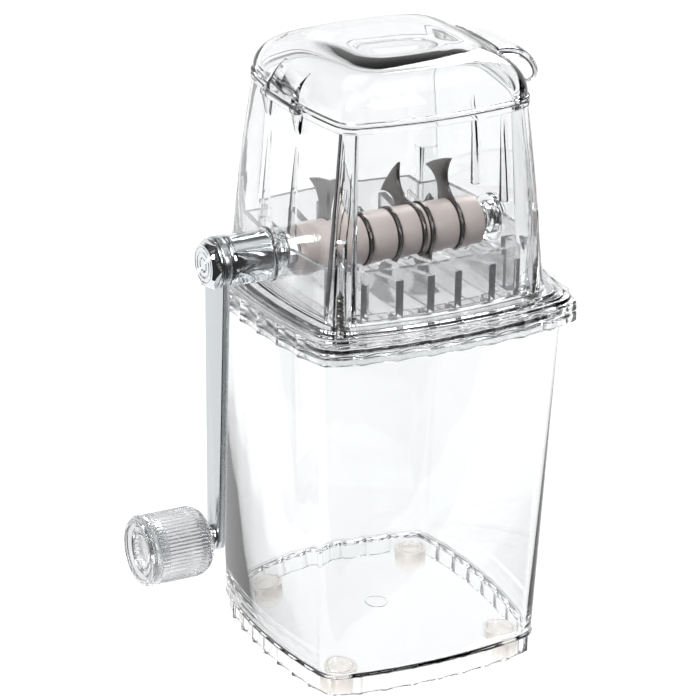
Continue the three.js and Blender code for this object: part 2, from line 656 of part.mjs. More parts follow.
// One stamped pick: a hub ring and a single arm that ends in two swept horns.
function pickOutline(angleDegrees) {
  const angle = THREE.MathUtils.degToRad(angleDegrees);
  const at = (radius, degrees) => {
    const a = angle + THREE.MathUtils.degToRad(degrees);
    return [radius * Math.cos(a), radius * Math.sin(a)];
  };
  const shape = new THREE.Shape();
  const rootAngle = 38;
  shape.moveTo(...at(PICK_HUB_RADIUS, rootAngle));
  shape.quadraticCurveTo(...at(13.4, 14), ...at(17.2, 12.5));
  shape.quadraticCurveTo(...at(21.6, 11.5), ...at(PICK_TIP_RADIUS, PICK_TIP_HALF_ANGLE));
  shape.quadraticCurveTo(...at(PICK_EDGE_RADIUS + 0.6, 10), ...at(PICK_EDGE_RADIUS, 0));
  shape.quadraticCurveTo(...at(PICK_EDGE_RADIUS + 0.6, -10), ...at(PICK_TIP_RADIUS, -PICK_TIP_HALF_ANGLE));
  shape.quadraticCurveTo(...at(21.6, -11.5), ...at(17.2, -12.5));
  shape.quadraticCurveTo(...at(13.4, -14), ...at(PICK_HUB_RADIUS, -rootAngle));
  const start = angle - THREE.MathUtils.degToRad(rootAngle);
  shape.absarc(0, 0, PICK_HUB_RADIUS, start, angle + THREE.MathUtils.degToRad(rootAngle), true);
  shape.holes.push(hexagon(SHAFT_HEX_FLATS + 2 * GAP));
  return shape;
}

function makePick(angleDegrees) {
  return plateAlongX(pickOutline(angleDegrees), PICK_THICKNESS, 4).translate(-PICK_THICKNESS / 2, 0, 0);
}

function makeSpacer(length) {
  const shape = new THREE.Shape();
  shape.absarc(0, 0, DRUM_RADIUS, 0, 2 * Math.PI);
  shape.holes.push(hexagon(SHAFT_HEX_FLATS + 2 * GAP));
  return plateAlongX(shape, length, 16);
}

// The spacers fill the shaft between the picks, each from one face to the next.
function spacerSpans() {
  const faces = PICKS.flatMap(({ x }) => {
    const reach = PICK_THICKNESS / 2 + PICK_FACE_GAP;
    return [x - reach, x + reach];
  });
  const stops = [DRUM_START, ...faces, DRUM_END];
  return Array.from({ length: stops.length / 2 }, (unused, k) => [stops[2 * k], stops[2 * k + 1]]);
}

function makeClip() {
  return turned([[-0.5, 4.9], [-0.5, 6.6], [0.5, 6.6], [0.5, 4.9]], 18);
}

// ---- crank --------------------------------------------------------------------------
function makeSleeve() {
  const rim = 0.8;
  return turned([
    [SLEEVE_OUTER_END, SHAFT_BORE_RADIUS], [SLEEVE_OUTER_END, SLEEVE_RADIUS - rim],
    [SLEEVE_OUTER_END + rim, SLEEVE_RADIUS], [SLEEVE_INNER_END - rim, SLEEVE_RADIUS],
    [SLEEVE_INNER_END, SLEEVE_RADIUS - rim], [SLEEVE_INNER_END, SHAFT_BORE_RADIUS],
  ], 28);
}

// A flat bar that narrows from the eye on the shaft to the knob's end.
function makeArm() {
  const eye = SLEEVE_RADIUS;
  const topHalf = 8;
  const shape = new THREE.Shape();
  shape.moveTo(-topHalf, -Math.sqrt(eye * eye - topHalf * topHalf));
  shape.lineTo(-ARM_END_RADIUS, -ARM_THROW);
  shape.absarc(0, -ARM_THROW, ARM_END_RADIUS, Math.PI, 2 * Math.PI);
  shape.lineTo(topHalf, -Math.sqrt(eye * eye - topHalf * topHalf));
  shape.absarc(0, 0, eye, -Math.acos(topHalf / eye), Math.PI + Math.acos(topHalf / eye));
  const shaftHole = new THREE.Path().absarc(0, 0, SHAFT_BORE_RADIUS, 0, 2 * Math.PI);
  const spindleHole = new THREE.Path().absarc(0, -ARM_THROW, 2.9, 0, 2 * Math.PI);
  shape.holes.push(shaftHole, spindleHole);
  return plateAlongX(shape, ARM_THICKNESS, 10);
}

function makeWasher() {
  return turned([
    [0, SHAFT_BORE_RADIUS], [0, WASHER_RADIUS],
    [WASHER_THICKNESS, WASHER_RADIUS], [WASHER_THICKNESS, SHAFT_BORE_RADIUS],
  ]);
}

// A hexagonal cap nut with a round, ringed face.
function makeNut(innerX) {
  const length = innerX - NUT_FACE_X;
  const hex = plateAlongX(hexagon(NUT_FLATS, THREE.Shape), length - 0.8);
  const cone = turned([[-1, 0], [-1, 8.2], [2.2, 11], [length, 11], [length, 0]]);
  const face = turned([[-0.8, 0], [-0.8, 7.6], [0.6, 8.4], [0.6, 0]]);
  const groove = (inner, outer) => turned([[-2, inner], [-2, outer], [-0.3, outer], [-0.3, inner]]);
  const bore = rod([1.2, 0, 0], [length + 1, 0, 0], SHAFT_BORE_RADIUS, SHAFT_BORE_RADIUS, 24);
  const nut = joined(toSolid(hex).intersect(toSolid(cone)), toSolid(face));
  const grooved = cut(nut, toSolid(groove(2.2, 3)), toSolid(groove(4.8, 5.6)), bore);
  return toGeometry(grooved.translate([NUT_FACE_X + 0.8, 0, 0]));
}

function makeSpindle(armOuterX, armInnerX) {
  return turned([
    [armInnerX, 0], [armInnerX, 2.6], [armOuterX - GAP, 2.6], [armOuterX - GAP, SPINDLE_RADIUS + 1.4],
    [armOuterX - GAP - 1.2, SPINDLE_RADIUS + 1.4], [armOuterX - GAP - 1.2, SPINDLE_RADIUS],
    [SPINDLE_HEAD_X, SPINDLE_RADIUS], [SPINDLE_HEAD_X, SPINDLE_HEAD_RADIUS],
    [SPINDLE_HEAD_X - 2, SPINDLE_HEAD_RADIUS], [SPINDLE_HEAD_X - 2, 0],
  ], 24);
}

// The knob turns on its spindle; its far end is counterbored for the spindle's head and a cap.
function makeKnob() {
  const bore = SPINDLE_RADIUS + 0.3;
  const shelf = SPINDLE_HEAD_X + GAP;
  return turned([
    [KNOB_INNER_END, bore], [KNOB_INNER_END, 5.2], [KNOB_INNER_END - 1.2, 8.6],
    [KNOB_INNER_END - 3.6, 11.6], [KNOB_INNER_END - 7, KNOB_RADIUS],
    [KNOB_OUTER_END + 5, KNOB_RADIUS], [KNOB_OUTER_END + 4, KNOB_BEAD_RADIUS],
    [KNOB_OUTER_END + 1.4, KNOB_BEAD_RADIUS], [KNOB_OUTER_END, KNOB_RADIUS - 0.6], [KNOB_OUTER_END, 11.2],
    [shelf, 10.6], [shelf, bore],
  ], 28);
}

function makeKnobCap() {
  const inner = SPINDLE_HEAD_X - 2 - GAP;
  const outer = KNOB_OUTER_END + 1.6;
  return turned([[inner, 0], [inner, 10.3], [outer + 0.8, 10.5], [outer, 9.4], [outer, 0]]);
}

// ---- assembly -----------------------------------------------------------------------
function part(parent, name, geometry, material, position = [0, 0, 0]) {
  const mesh = new THREE.Mesh(geometry, material);
  mesh.name = name;
  mesh.position.set(...position);
  parent.add(mesh);
}

const CORNER_NAMES = ["front_left", "front_right", "rear_right", "rear_left"];

function addContainer(parent) {
  part(parent, "container", makeContainer(), clearPlastic);
  const foot = makeFoot();
  const places = atCorners(FOOT_SPACING, (x, y) => [x, y, 0]);
  CORNER_NAMES.forEach((corner, k) => part(parent, `foot_${corner}`, foot, footRubber, places[k]));
}

function addHead(parent) {
  part(parent, "head_base", makeHeadBase(), clearPlastic);
  part(parent, "hopper", makeHopper(), clearPlastic);
  part(parent, "comb", makeComb(), clearPlastic);
  part(parent, "bush_crank_side", makeBush(51.6).clone().rotateZ(Math.PI), clearPlastic, [0, 0, SHAFT_Z]);
  part(parent, "bush_far_side", makeFarBush(), clearPlastic, [0, 0, SHAFT_Z]);
  part(parent, "lid_hinge_pin", makeHingePin(), shaftSteel, [HINGE_X, 0, HINGE_Z]);
  const screw = makeScrew();
  const places = atCorners(POST_SPACING, (x, y) => [x, y, 0]);
  CORNER_NAMES.forEach((corner, k) => part(parent, `screw_${corner}`, screw, screwSteel, places[k]));
}

function addShaftTrain(parent) {
  part(parent, "shaft", makeShaft(), shaftSteel);
  PICKS.forEach(({ x, angle }, k) => part(parent, `pick_${k + 1}`, makePick(angle), pickSteel, [x, 0, 0]));
  spacerSpans().forEach(([low, high], k) => {
    part(parent, `spacer_${k + 1}`, makeSpacer(high - low), spacerPlastic, [low, 0, 0]);
  });
  part(parent, "shaft_clip", makeClip(), shaftSteel, [40.6, 0, 0]);
}

function addCrank(parent) {
  const armInnerX = SLEEVE_OUTER_END - GAP;
  const armOuterX = armInnerX - ARM_THICKNESS;
  const washerOuterX = armOuterX - 0.2 - WASHER_THICKNESS;
  part(parent, "crank_sleeve", makeSleeve(), chrome);
  part(parent, "crank_arm", makeArm(), chrome, [armOuterX, 0, 0]);
  part(parent, "crank_washer", makeWasher(), chrome, [washerOuterX, 0, 0]);
  part(parent, "crank_nut", makeNut(washerOuterX - 0.2), chrome);
  const knobPlace = [0, 0, -ARM_THROW];
  part(parent, "knob_spindle", makeSpindle(armOuterX, armInnerX), shaftSteel, knobPlace);
  part(parent, "knob", makeKnob(), clearPlastic, knobPlace);
  part(parent, "knob_end_cap", makeKnobCap(), clearPlastic, knobPlace);
}

const object = new THREE.Group();
object.position.x = -(KNOB_OUTER_END + RIM_HALF + FLUTE_DEPTH) / 2;
addContainer(object);
addHead(object);
part(object, "lid", makeLid(), clearPlastic);
const shaftTrain = new THREE.Group();
shaftTrain.position.z = SHAFT_Z;
addShaftTrain(shaftTrain);
addCrank(shaftTrain);
object.add(shaftTrain);

export default object;
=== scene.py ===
# %% [markdown]
# # A hand-cranked ice crusher
# A clear container stands on four rubber feet. A clear head sits in its mouth, with a hinged domed lid, and
# a shaft of steel picks and plastic spacers runs through it. A chromed crank with a clear knob turns the
# shaft, and the picks drag ice down between the fins of a clear comb. Nearly everything is clear moulded
# plastic, so the lesson is about real wall thickness, rounded edges and light that passes through.

import math

import bmesh
import bpy
from mathutils import Matrix, Vector


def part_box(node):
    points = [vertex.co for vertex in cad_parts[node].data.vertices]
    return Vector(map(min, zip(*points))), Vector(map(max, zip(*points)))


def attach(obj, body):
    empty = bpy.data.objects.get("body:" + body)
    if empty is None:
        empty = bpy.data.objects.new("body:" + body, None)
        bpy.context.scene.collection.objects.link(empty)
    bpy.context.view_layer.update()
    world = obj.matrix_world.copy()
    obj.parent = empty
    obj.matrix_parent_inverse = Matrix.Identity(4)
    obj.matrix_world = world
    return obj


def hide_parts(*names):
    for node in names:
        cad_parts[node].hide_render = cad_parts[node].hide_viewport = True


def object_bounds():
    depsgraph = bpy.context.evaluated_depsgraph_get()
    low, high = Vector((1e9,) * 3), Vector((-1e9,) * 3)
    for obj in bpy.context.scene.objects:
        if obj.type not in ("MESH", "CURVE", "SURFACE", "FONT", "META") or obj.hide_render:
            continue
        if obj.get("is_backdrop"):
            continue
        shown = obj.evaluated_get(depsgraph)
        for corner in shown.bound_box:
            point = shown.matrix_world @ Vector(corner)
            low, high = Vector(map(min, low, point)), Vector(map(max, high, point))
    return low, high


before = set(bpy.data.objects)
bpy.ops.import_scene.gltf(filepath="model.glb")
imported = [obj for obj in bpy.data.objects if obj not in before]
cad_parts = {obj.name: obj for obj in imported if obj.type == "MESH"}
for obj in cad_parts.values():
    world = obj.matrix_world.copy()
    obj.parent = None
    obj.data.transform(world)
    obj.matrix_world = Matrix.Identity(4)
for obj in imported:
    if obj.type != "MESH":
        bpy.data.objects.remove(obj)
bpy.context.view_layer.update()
MM = 0.001

# %% [markdown]
# ## Places
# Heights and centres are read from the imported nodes, so that every piece lands where the design has it.
# Lengths are in millimetres. x is measured from the container's own axis, and z from the table.


# %% Places read from the frame
def box_mm(node):
    low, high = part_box(node)
    return low / MM, high / MM


container_low, container_high = box_mm("container")
AXIS_X = (container_low.x + container_high.x) / 2
CONTAINER_TOP = container_high.z
SKIRT_BOTTOM = container_low.z
FIT = 0.3  # the gap left between mouldings that meet
BASE_BOTTOM = CONTAINER_TOP + FIT
HOPPER_BOTTOM = box_mm("hopper")[0].z
BASE_TOP = HOPPER_BOTTOM - FIT
lid_high = box_mm("lid")[1]
drum_low, drum_high = box_mm("spacer_1")
SHAFT_Z = (drum_low.z + drum_high.z) / 2
DRUM_RADIUS = (drum_high.z - drum_low.z) / 2
knob_low, knob_high = box_mm("knob")
KNOB_Z = (knob_low.z + knob_high.z) / 2
pin_low, pin_high = box_mm("lid_hinge_pin")
HINGE_X = (pin_low.x + pin_high.x) / 2 - AXIS_X
HINGE_Z = (pin_low.z + pin_high.z) / 2
print("axis at x", round(AXIS_X, 2), "shaft at z", round(SHAFT_Z, 2), "knob at z", round(KNOB_Z, 2))

# %% [markdown]
# ## Helpers for node trees
# Shader trees and geometry trees are both built from the same three things: a kind of node, its settings,
# and what goes into its sockets. One function does all three. Colours are written as the hex values that
# a painter would name, and turned to linear light in one place.


# %% Node and colour helpers
def add(tree, kind, settings=None, inputs=None):
    """Adds a node, sets its settings, and fills its sockets with values or with other sockets."""
    node = tree.nodes.new(kind)
    for name, value in (settings or {}).items():
        setattr(node, name, value)
    for socket, value in (inputs or {}).items():
        if isinstance(value, bpy.types.NodeSocket):
            tree.links.new(value, node.inputs[socket])
        else:
            node.inputs[socket].default_value = value
    return node


def linear(hex_colour):
    """An sRGB hex colour as linear RGBA."""
    parts = [int(hex_colour[i : i + 2], 16) / 255 for i in (1, 3, 5)]
    curve = [p / 12.92 if p <= 0.04045 else ((p + 0.055) / 1.055) ** 2.4 for p in parts]
    return (*curve, 1.0)


def new_material(name):
    """An empty material: its tree, its output node and its Object coordinates."""
    material = bpy.data.materials.new(name)
    material.use_nodes = True
    tree = material.node_tree
    tree.nodes.clear()
    output = add(tree, "ShaderNodeOutputMaterial")
    place = add(tree, "ShaderNodeTexCoord").outputs["Object"]
    return material, tree, output, place


def ripple(tree, place, wavelength_mm, height_mm, stretch=(1, 1, 1)):
    """A bump of smooth noise with a wavelength and a height in millimetres."""
    spread = add(tree, "ShaderNodeMapping", inputs={"Vector": place, "Scale": stretch})
    noise = add(tree, "ShaderNodeTexNoise", inputs={
        "Vector": spread.outputs[0], "Scale": 1 / (wavelength_mm * MM), "Detail": 1.5})
    bump = add(tree, "ShaderNodeBump", inputs={
        "Strength": 1.0, "Distance": height_mm * MM, "Height": noise.outputs["Fac"]})
    return noise.outputs["Fac"], bump.outputs["Normal"]


# %% [markdown]
# ## Clear moulded plastic
# The container, head, comb, lid and knob are injection-moulded styrene acrylonitrile, a hard clear plastic.
# Its index is near 1.57, and the lower one used here is a choice made for how light the crossed walls look.
# Polished steel moulds leave it glossy, with a faint slow ripple where the melt flowed. It is all but
# colourless through a wall, and bluish where light has run through many centimetres of it, so most of its
# colour is a weak absorption in its volume. The knob has a greyer tint, and the comb is a little rough and
# hazy, as rubbing ice would leave it. Lamps and scattered light pass unbent, which keeps the shadows light.

# %% Clear plastic material
PLASTIC_INDEX = 1.51
ABSORPTION = 5.0  # per metre
RIPPLE_LENGTH_MM = 14


def clear_plastic(name, hex_tint, roughness, ripple_mm, clarity=1.0):
    material, tree, output, place = new_material(name)
    wave, normal = ripple(tree, place, RIPPLE_LENGTH_MM, ripple_mm)
    haze = add(tree, "ShaderNodeMapRange", inputs={
        "Value": wave, "To Min": roughness, "To Max": roughness + 0.02})
    body = add(tree, "ShaderNodeBsdfPrincipled", inputs={
        "Base Color": linear(hex_tint), "IOR": PLASTIC_INDEX, "Transmission Weight": clarity,
        "Roughness": haze.outputs[0], "Normal": normal})
    open_air = add(tree, "ShaderNodeBsdfTransparent", inputs={"Color": linear("#F5F5F6")})
    path = add(tree, "ShaderNodeLightPath")
    scattered = add(tree, "ShaderNodeMixShader", inputs={
        0: path.outputs["Is Diffuse Ray"], 1: body.outputs[0], 2: open_air.outputs[0]})
    lamps = add(tree, "ShaderNodeMixShader", inputs={
        0: path.outputs["Is Shadow Ray"], 1: scattered.outputs[0], 2: open_air.outputs[0]})
    depth = add(tree, "ShaderNodeVolumeAbsorption", inputs={
        "Color": linear("#9395AE"), "Density": ABSORPTION})
    tree.links.new(lamps.outputs[0], output.inputs["Surface"])
    tree.links.new(depth.outputs[0], output.inputs["Volume"])
    return material


clear_moulding = clear_plastic("clear_san_moulding", "#FBFCFC", 0.0, 0.012)
clear_grip = clear_plastic("clear_san_grip", "#DFE0E0", 0.0, 0.012)
worn_clear = clear_plastic("clear_san_comb_worn_by_ice", "#F8F8F8", 0.05, 0.02, 0.95)
print("made three clear plastics")

# %% [markdown]
# ## Metals
# The crank's sleeve, washer and nut are chrome plate: nearly white, and a mirror. The arm is steel plated
# and then brushed along its length, so its lines run down and spread the highlight sideways. The picks are
# stamped stainless steel, tumbled and not polished, so they look dark and a little cloudy. Each is a full
# metal with the default index, and only its colour, its roughness and its scratches differ.


# %% Metal materials
PATCH_MM = 6  # the size of the cloudier patches


def metal(name, hex_colour, roughness, wear, scratch_mm, depth_mm, stretch=(1, 1, 1)):
    material, tree, output, place = new_material(name)
    grain, normal = ripple(tree, place, scratch_mm, depth_mm, stretch)
    patches = add(tree, "ShaderNodeTexNoise", inputs={
        "Vector": place, "Scale": 1 / (PATCH_MM * MM), "Detail": 3.0})
    both = add(tree, "ShaderNodeMath", {"operation": "MULTIPLY"}, {0: grain, 1: patches.outputs["Fac"]})
    rough = add(tree, "ShaderNodeMapRange", inputs={
        "Value": both.outputs[0], "From Max": 0.5, "To Min": roughness, "To Max": roughness + wear})
    body = add(tree, "ShaderNodeBsdfPrincipled", inputs={
        "Base Color": linear(hex_colour), "Metallic": 1.0, "Roughness": rough.outputs[0], "Normal": normal})
    tree.links.new(body.outputs[0], output.inputs["Surface"])
    return material


chrome_plate = metal("polished_chrome_plate", "#DFE2E4", 0.04, 0.05, 3, 0.002)
brushed_plate = metal("brushed_nickel_plate", "#C3C7C9", 0.2, 0.1, 0.25, 0.003, (1, 1, 0.02))
stamped_steel = metal("tumbled_stainless_steel", "#6F6C6A", 0.17, 0.12, 0.8, 0.004)
drawn_steel = metal("bright_drawn_steel", "#CFD0D1", 0.1, 0.1, 0.5, 0.003, (0.05, 1, 1))
zinc_steel = metal("zinc_plated_steel", "#6E6C69", 0.22, 0.15, 0.6, 0.004)
print("made five metals")

# %% [markdown]
# ## Spacers and feet
# The spacers are moulded acetal in a pinkish beige, a waxy plastic that is satin to the eye. The feet are a
# soft translucent elastomer: light enters, scatters and comes out beige, so they take some transmission
# with a rough surface, and a fine matt grain from a spark-eroded mould.


# %% Spacer and foot materials
FLOW_MM = 9  # the size of the faint clouds in the colour


def satin_plastic(name, hex_colour, hex_shade, roughness, transmission, grain_mm, depth_mm):
    material, tree, output, place = new_material(name)
    grain, normal = ripple(tree, place, grain_mm, depth_mm)
    flow = add(tree, "ShaderNodeTexNoise", inputs={
        "Vector": place, "Scale": 1 / (FLOW_MM * MM), "Detail": 2.0})
    colour = add(tree, "ShaderNodeMix", {"data_type": "RGBA"}, {
        0: flow.outputs["Fac"], 6: linear(hex_colour), 7: linear(hex_shade)})
    rough = add(tree, "ShaderNodeMapRange", inputs={
        "Value": grain, "To Min": roughness, "To Max": roughness + 0.12})
    body = add(tree, "ShaderNodeBsdfPrincipled", inputs={
        "Base Color": colour.outputs[2], "Roughness": rough.outputs[0], "IOR": 1.48,
        "Transmission Weight": transmission, "Normal": normal})
    tree.links.new(body.outputs[0], output.inputs["Surface"])
    return material


acetal = satin_plastic("satin_acetal_beige", "#D6CBC6", "#CBBFB9", 0.3, 0.0, 0.5, 0.006)
elastomer = satin_plastic("translucent_elastomer_beige", "#FFFBF6", "#F9F1EA", 0.3, 0.88, 0.4, 0.01)
print("made", acetal.name, "and", elastomer.name)

# %% [markdown]
# ## The plan outline
# Every big moulding shares one plan: a square whose sides bow outwards and whose corners are rounded. It
# could be drawn as a curve, but as a rule it is exact at any size: each side is one long arc, and each
# corner a short arc that meets it without a kink. Points are spaced by length along it, so that flutes
# come out evenly. An inner wall gets a bow and a corner of its own, so that it runs parallel to the outer
# one: walls that aren't parallel bend what is seen through them.

# %% Plan outline
SIDE_BOW = 0.105       # of the half width
CORNER_RADIUS = 0.196  # of the half width
FLUTES = 8             # per side
FLUTE_DEPTH = 1.4
POINTS_PER_SIDE = 64


def side_point(half, bow, corner, share):
    """The point and outward normal at a share of the way along the side that faces +X."""
    reach = half - bow
    bow_radius = (reach * reach + bow * bow) / (2 * bow)
    b = 2 * (bow_radius - half)
    c = (bow_radius - half) ** 2 - (bow_radius - corner) ** 2
    fillet = (-b + math.sqrt(b * b - 8 * c)) / 4
    bow_angle = math.atan2(fillet, fillet + bow_radius - half)
    fillet_length = corner * (math.pi / 4 - bow_angle)
    bow_length = 2 * bow_radius * bow_angle
    along = share * (bow_length + 2 * fillet_length) - fillet_length
    if along < 0:
        centre, radius, angle = (fillet, -fillet), corner, -bow_angle + along / corner
    elif along > bow_length:
        centre, radius, angle = (fillet, fillet), corner, bow_angle + (along - bow_length) / corner
    else:
        centre, radius, angle = (half - bow_radius, 0), bow_radius, -bow_angle + along / bow_radius
    normal = Vector((math.cos(angle), math.sin(angle)))
    return Vector(centre) + radius * normal, normal


def inside_of(half, thickness):
    """The bow and corner that keep an inner wall parallel to the outer one at this half width."""
    bow, inner = half * SIDE_BOW, half - thickness
    radius = ((half - bow) ** 2 + bow * bow) / (2 * bow) - thickness
    total = inner + radius
    return {"bow": (total - math.sqrt(total * total - 2 * inner * inner)) / 2 / inner,
            "corner": (half * CORNER_RADIUS - thickness) / inner}


def outline(half, bow=SIDE_BOW, corner=CORNER_RADIUS):
    """Points round the plan, each with its outward normal and how far round it is, in sides."""
    ring = []
    for side in range(4):
        turn = Matrix.Rotation(side * math.pi / 2, 2)
        for k in range(POINTS_PER_SIDE):
            share = k / POINTS_PER_SIDE
            point, normal = side_point(half, half * bow, half * corner, share)
            ring.append((turn @ point, turn @ normal, side + share))
    return ring


print("outline has", len(outline(50)), "points")

# %% [markdown]
# ## From profiles to meshes
# A moulding is a profile carried round the plan, and a turned piece is a profile carried round a circle.
# Real mouldings have no knife edges, so each corner of a profile is given a radius and becomes a short
# curve. Three values are kept on the points for later: how far round they are, which way is out, and so
# where the flutes may push them.


# %% Profile and mesh helpers
def softened(profile, closed=False, steps=4):
    """Rounds the corners of a profile. The last number of each row is the length cut back at its corner."""
    rows = []
    for k, row in enumerate(profile):
        here, radius = Vector(row[:-1]), row[-1]
        if radius == 0 or (not closed and k in (0, len(profile) - 1)):
            rows.append(here)
            continue
        before = Vector(profile[k - 1][:-1]) - here
        after = Vector(profile[(k + 1) % len(profile)][:-1]) - here
        start = here + before * min(0.45, radius / before.length)
        end = here + after * min(0.45, radius / after.length)
        for i in range(steps + 1):
            t = i / steps
            rows.append(start * (1 - t) ** 2 + here * 2 * t * (1 - t) + end * t * t)
    return rows


def make_piece(name, points, faces, rounds=None, pushes=None):
    """A mesh object from points in millimetres, with its faces turned outwards."""
    mesh = bpy.data.meshes.new(name)
    mesh.from_pydata([((x + AXIS_X) * MM, y * MM, z * MM) for x, y, z in points], [], faces)
    if rounds:
        mesh.attributes.new("around", "FLOAT", "POINT").data.foreach_set("value", rounds)
        flat = [c for push in pushes for c in push]
        mesh.attributes.new("push", "FLOAT_VECTOR", "POINT").data.foreach_set("vector", flat)
    shell = bmesh.new()
    shell.from_mesh(mesh)
    bmesh.ops.recalc_face_normals(shell, faces=shell.faces)
    shell.to_mesh(mesh)
    shell.free()
    piece = bpy.data.objects.new(name, mesh)
    bpy.context.scene.collection.objects.link(piece)
    return piece


def bands(count, rows, closed):
    """The quads between neighbouring rings of points."""
    faces = []
    for band in range(rows if closed else rows - 1):
        low, high = band * count, ((band + 1) % rows) * count
        for i in range(count):
            j = (i + 1) % count
            faces.append((low + i, low + j, high + j, high + i))
    return faces


def moulding(name, profile, closed=False):
    """Carries a profile of (half width, z, flute share, bow, corner, rounding) round the plan."""
    rows = softened(profile, closed)
    points, rounds, pushes = [], [], []
    for half, z, flute, bow, corner in rows:
        for point, normal, around in outline(half, bow, corner):
            points.append((point.x, point.y, z))
            rounds.append(around)
            pushes.append((normal.x * flute, normal.y * flute, 0))
    count = 4 * POINTS_PER_SIDE
    faces = bands(count, len(rows), closed)
    if not closed:
        for row, last in ((rows[0], 0), (rows[-1], len(rows) - 1)):
            centre = len(points)
            points.append((0, 0, row[1]))
            rounds.append(0)
            pushes.append((0, 0, 0))
            start = last * count
            faces += [(centre, start + i, start + (i + 1) % count) for i in range(count)]
    return make_piece(name, points, faces, rounds, pushes)


def row(half, z, radius=0.0, flute=0.0, bow=SIDE_BOW, corner=CORNER_RADIUS):
    return (half, z, flute, bow, corner, radius)


def turned(name, profile, centre=(0, 0, 0), along="X", segments=64, flute_rows=()):
    """Carries a profile of (place on the axis, radius, rounding) round the axis. It closes on the axis,
    or on itself. flute_rows holds two places and a radius: flutes may push what lies between the places
    and outside the radius."""
    on_axis = profile[0][1] == 0
    rows = softened(profile, not on_axis)
    cx, cy, cz = centre
    points, rounds, pushes, faces, rings = [], [], [], [], []
    for place, radius in rows:
        rings.append((len(points), radius > 0))
        inside = bool(flute_rows) and flute_rows[0] <= place <= flute_rows[1] and radius > flute_rows[2]
        for k in range(segments if radius > 0 else 1):
            angle = 2 * math.pi * k / segments
            u, v = math.cos(angle), math.sin(angle)
            out = {"X": (0, u, v), "Y": (v, 0, u), "Z": (u, v, 0)}[along]
            step = {"X": (place, 0, 0), "Y": (0, place, 0), "Z": (0, 0, place)}[along]
            points.append((cx + step[0] + radius * out[0], cy + step[1] + radius * out[1],
                           cz + step[2] + radius * out[2]))
            rounds.append(k / segments)
            pushes.append(tuple(c * inside for c in out))
    pairs = list(zip(rings, rings[1:])) + ([] if on_axis else [(rings[-1], rings[0])])
    for (low, low_ring), (high, high_ring) in pairs:
        for i in range(segments):
            j = (i + 1) % segments
            below = [low + i, low + j] if low_ring else [low]
            above = [high + j, high + i] if high_ring else [high]
            face = below + above
            if len(face) > 2:
                faces.append(face)
    return make_piece(name, points, faces, rounds, pushes)


def rod(name, start, end, radius, radius_end=None, segments=48):
    """A cylinder or cone between two points."""
    start, end = Vector(start), Vector(end)
    radius_end = radius if radius_end is None else radius_end
    turn = (end - start).to_track_quat("Z", "Y").to_matrix()
    points = []
    for centre, size in ((start, radius), (end, radius_end)):
        for k in range(segments):
            angle = 2 * math.pi * k / segments
            points.append(centre + turn @ Vector((size * math.cos(angle), size * math.sin(angle), 0)))
    faces = bands(segments, 2, False)
    faces += [list(range(segments)), list(range(segments, 2 * segments))]
    return make_piece(name, points, faces)


def prism(name, outline_points, low, high, along="Z"):
    """A straight-sided block: an outline carried along one axis."""
    count = len(outline_points)
    points = []
    for level in (low, high):
        for u, v in outline_points:
            points.append({"X": (level, u, v), "Y": (u, level, v), "Z": (u, v, level)}[along])
    faces = bands(count, 2, False) + [list(range(count)), list(range(count, 2 * count))]
    return make_piece(name, points, faces)


print("helpers ready")

# %% [markdown]
# ## Joining, cutting and finishing
# Moulded details such as posts and bosses are one body with their wall, and in clear plastic a hidden
# wall inside another would show. So pieces are really joined and cut with the exact Boolean. The result
# is taken as a plain mesh, and edges sharper than a set angle stay sharp while the rest shade smoothly.


# %% Boolean and finishing helpers
def baked(piece):
    """Replaces a piece's mesh by what its modifiers make, and removes them."""
    graph = bpy.context.evaluated_depsgraph_get()
    made = bpy.data.meshes.new_from_object(piece.evaluated_get(graph), depsgraph=graph)
    piece.modifiers.clear()
    piece.data = made
    return piece


def merged(pieces):
    """Puts separate pieces that don't touch into one object."""
    whole = bmesh.new()
    for piece in pieces:
        whole.from_mesh(piece.data)
    first = pieces[0]
    whole.to_mesh(first.data)
    whole.free()
    for piece in pieces[1:]:
        bpy.data.objects.remove(piece)
    return first


def combined(piece, others, operation):
    """Joins the others to a piece, cuts them from it, or keeps what it shares with them."""
    tool = merged(others)
    change = piece.modifiers.new(operation, "BOOLEAN")
    change.solver = "EXACT"
    change.operation = operation
    change.object = tool
    baked(piece)
    bpy.data.objects.remove(tool)
    return piece


def finished(piece, body, material, nodes, angle=32):
    """Shades a piece, gives it its material, and hands it to its body in place of its CAD nodes."""
    mesh = piece.data
    mesh.materials.clear()
    mesh.materials.append(material)
    mesh.polygons.foreach_set("material_index", [0] * len(mesh.polygons))
    mesh.shade_smooth()
    mesh.set_sharp_from_angle(angle=math.radians(angle))
    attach(piece, body)
    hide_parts(*nodes)
    mesh.calc_loop_triangles()
    print(f"{piece.name}: {len(mesh.loop_triangles)} triangles on {body}")
    return piece


CORNERS = [(-1, -1), (1, -1), (1, 1), (-1, 1)]
CORNER_NAMES = ["front_left", "front_right", "rear_right", "rear_left"]


def at_corners(spacing):
    return [(sx * spacing, sy * spacing) for sx, sy in CORNERS]


# %% [markdown]
# ## Flutes
# The rims, the skirt, the feet and the knob are all fluted: a shallow hollow, a ridge, a hollow, all the
# way round. Modelling each by hand would never come out even. A Geometry Nodes tree does it by rule: the
# value "around" times the number of flutes gives a place within a flute from 0 to 1, and a parabola
# through it pushes each point out along "push", most at the ridges. One tree serves every fluted piece.


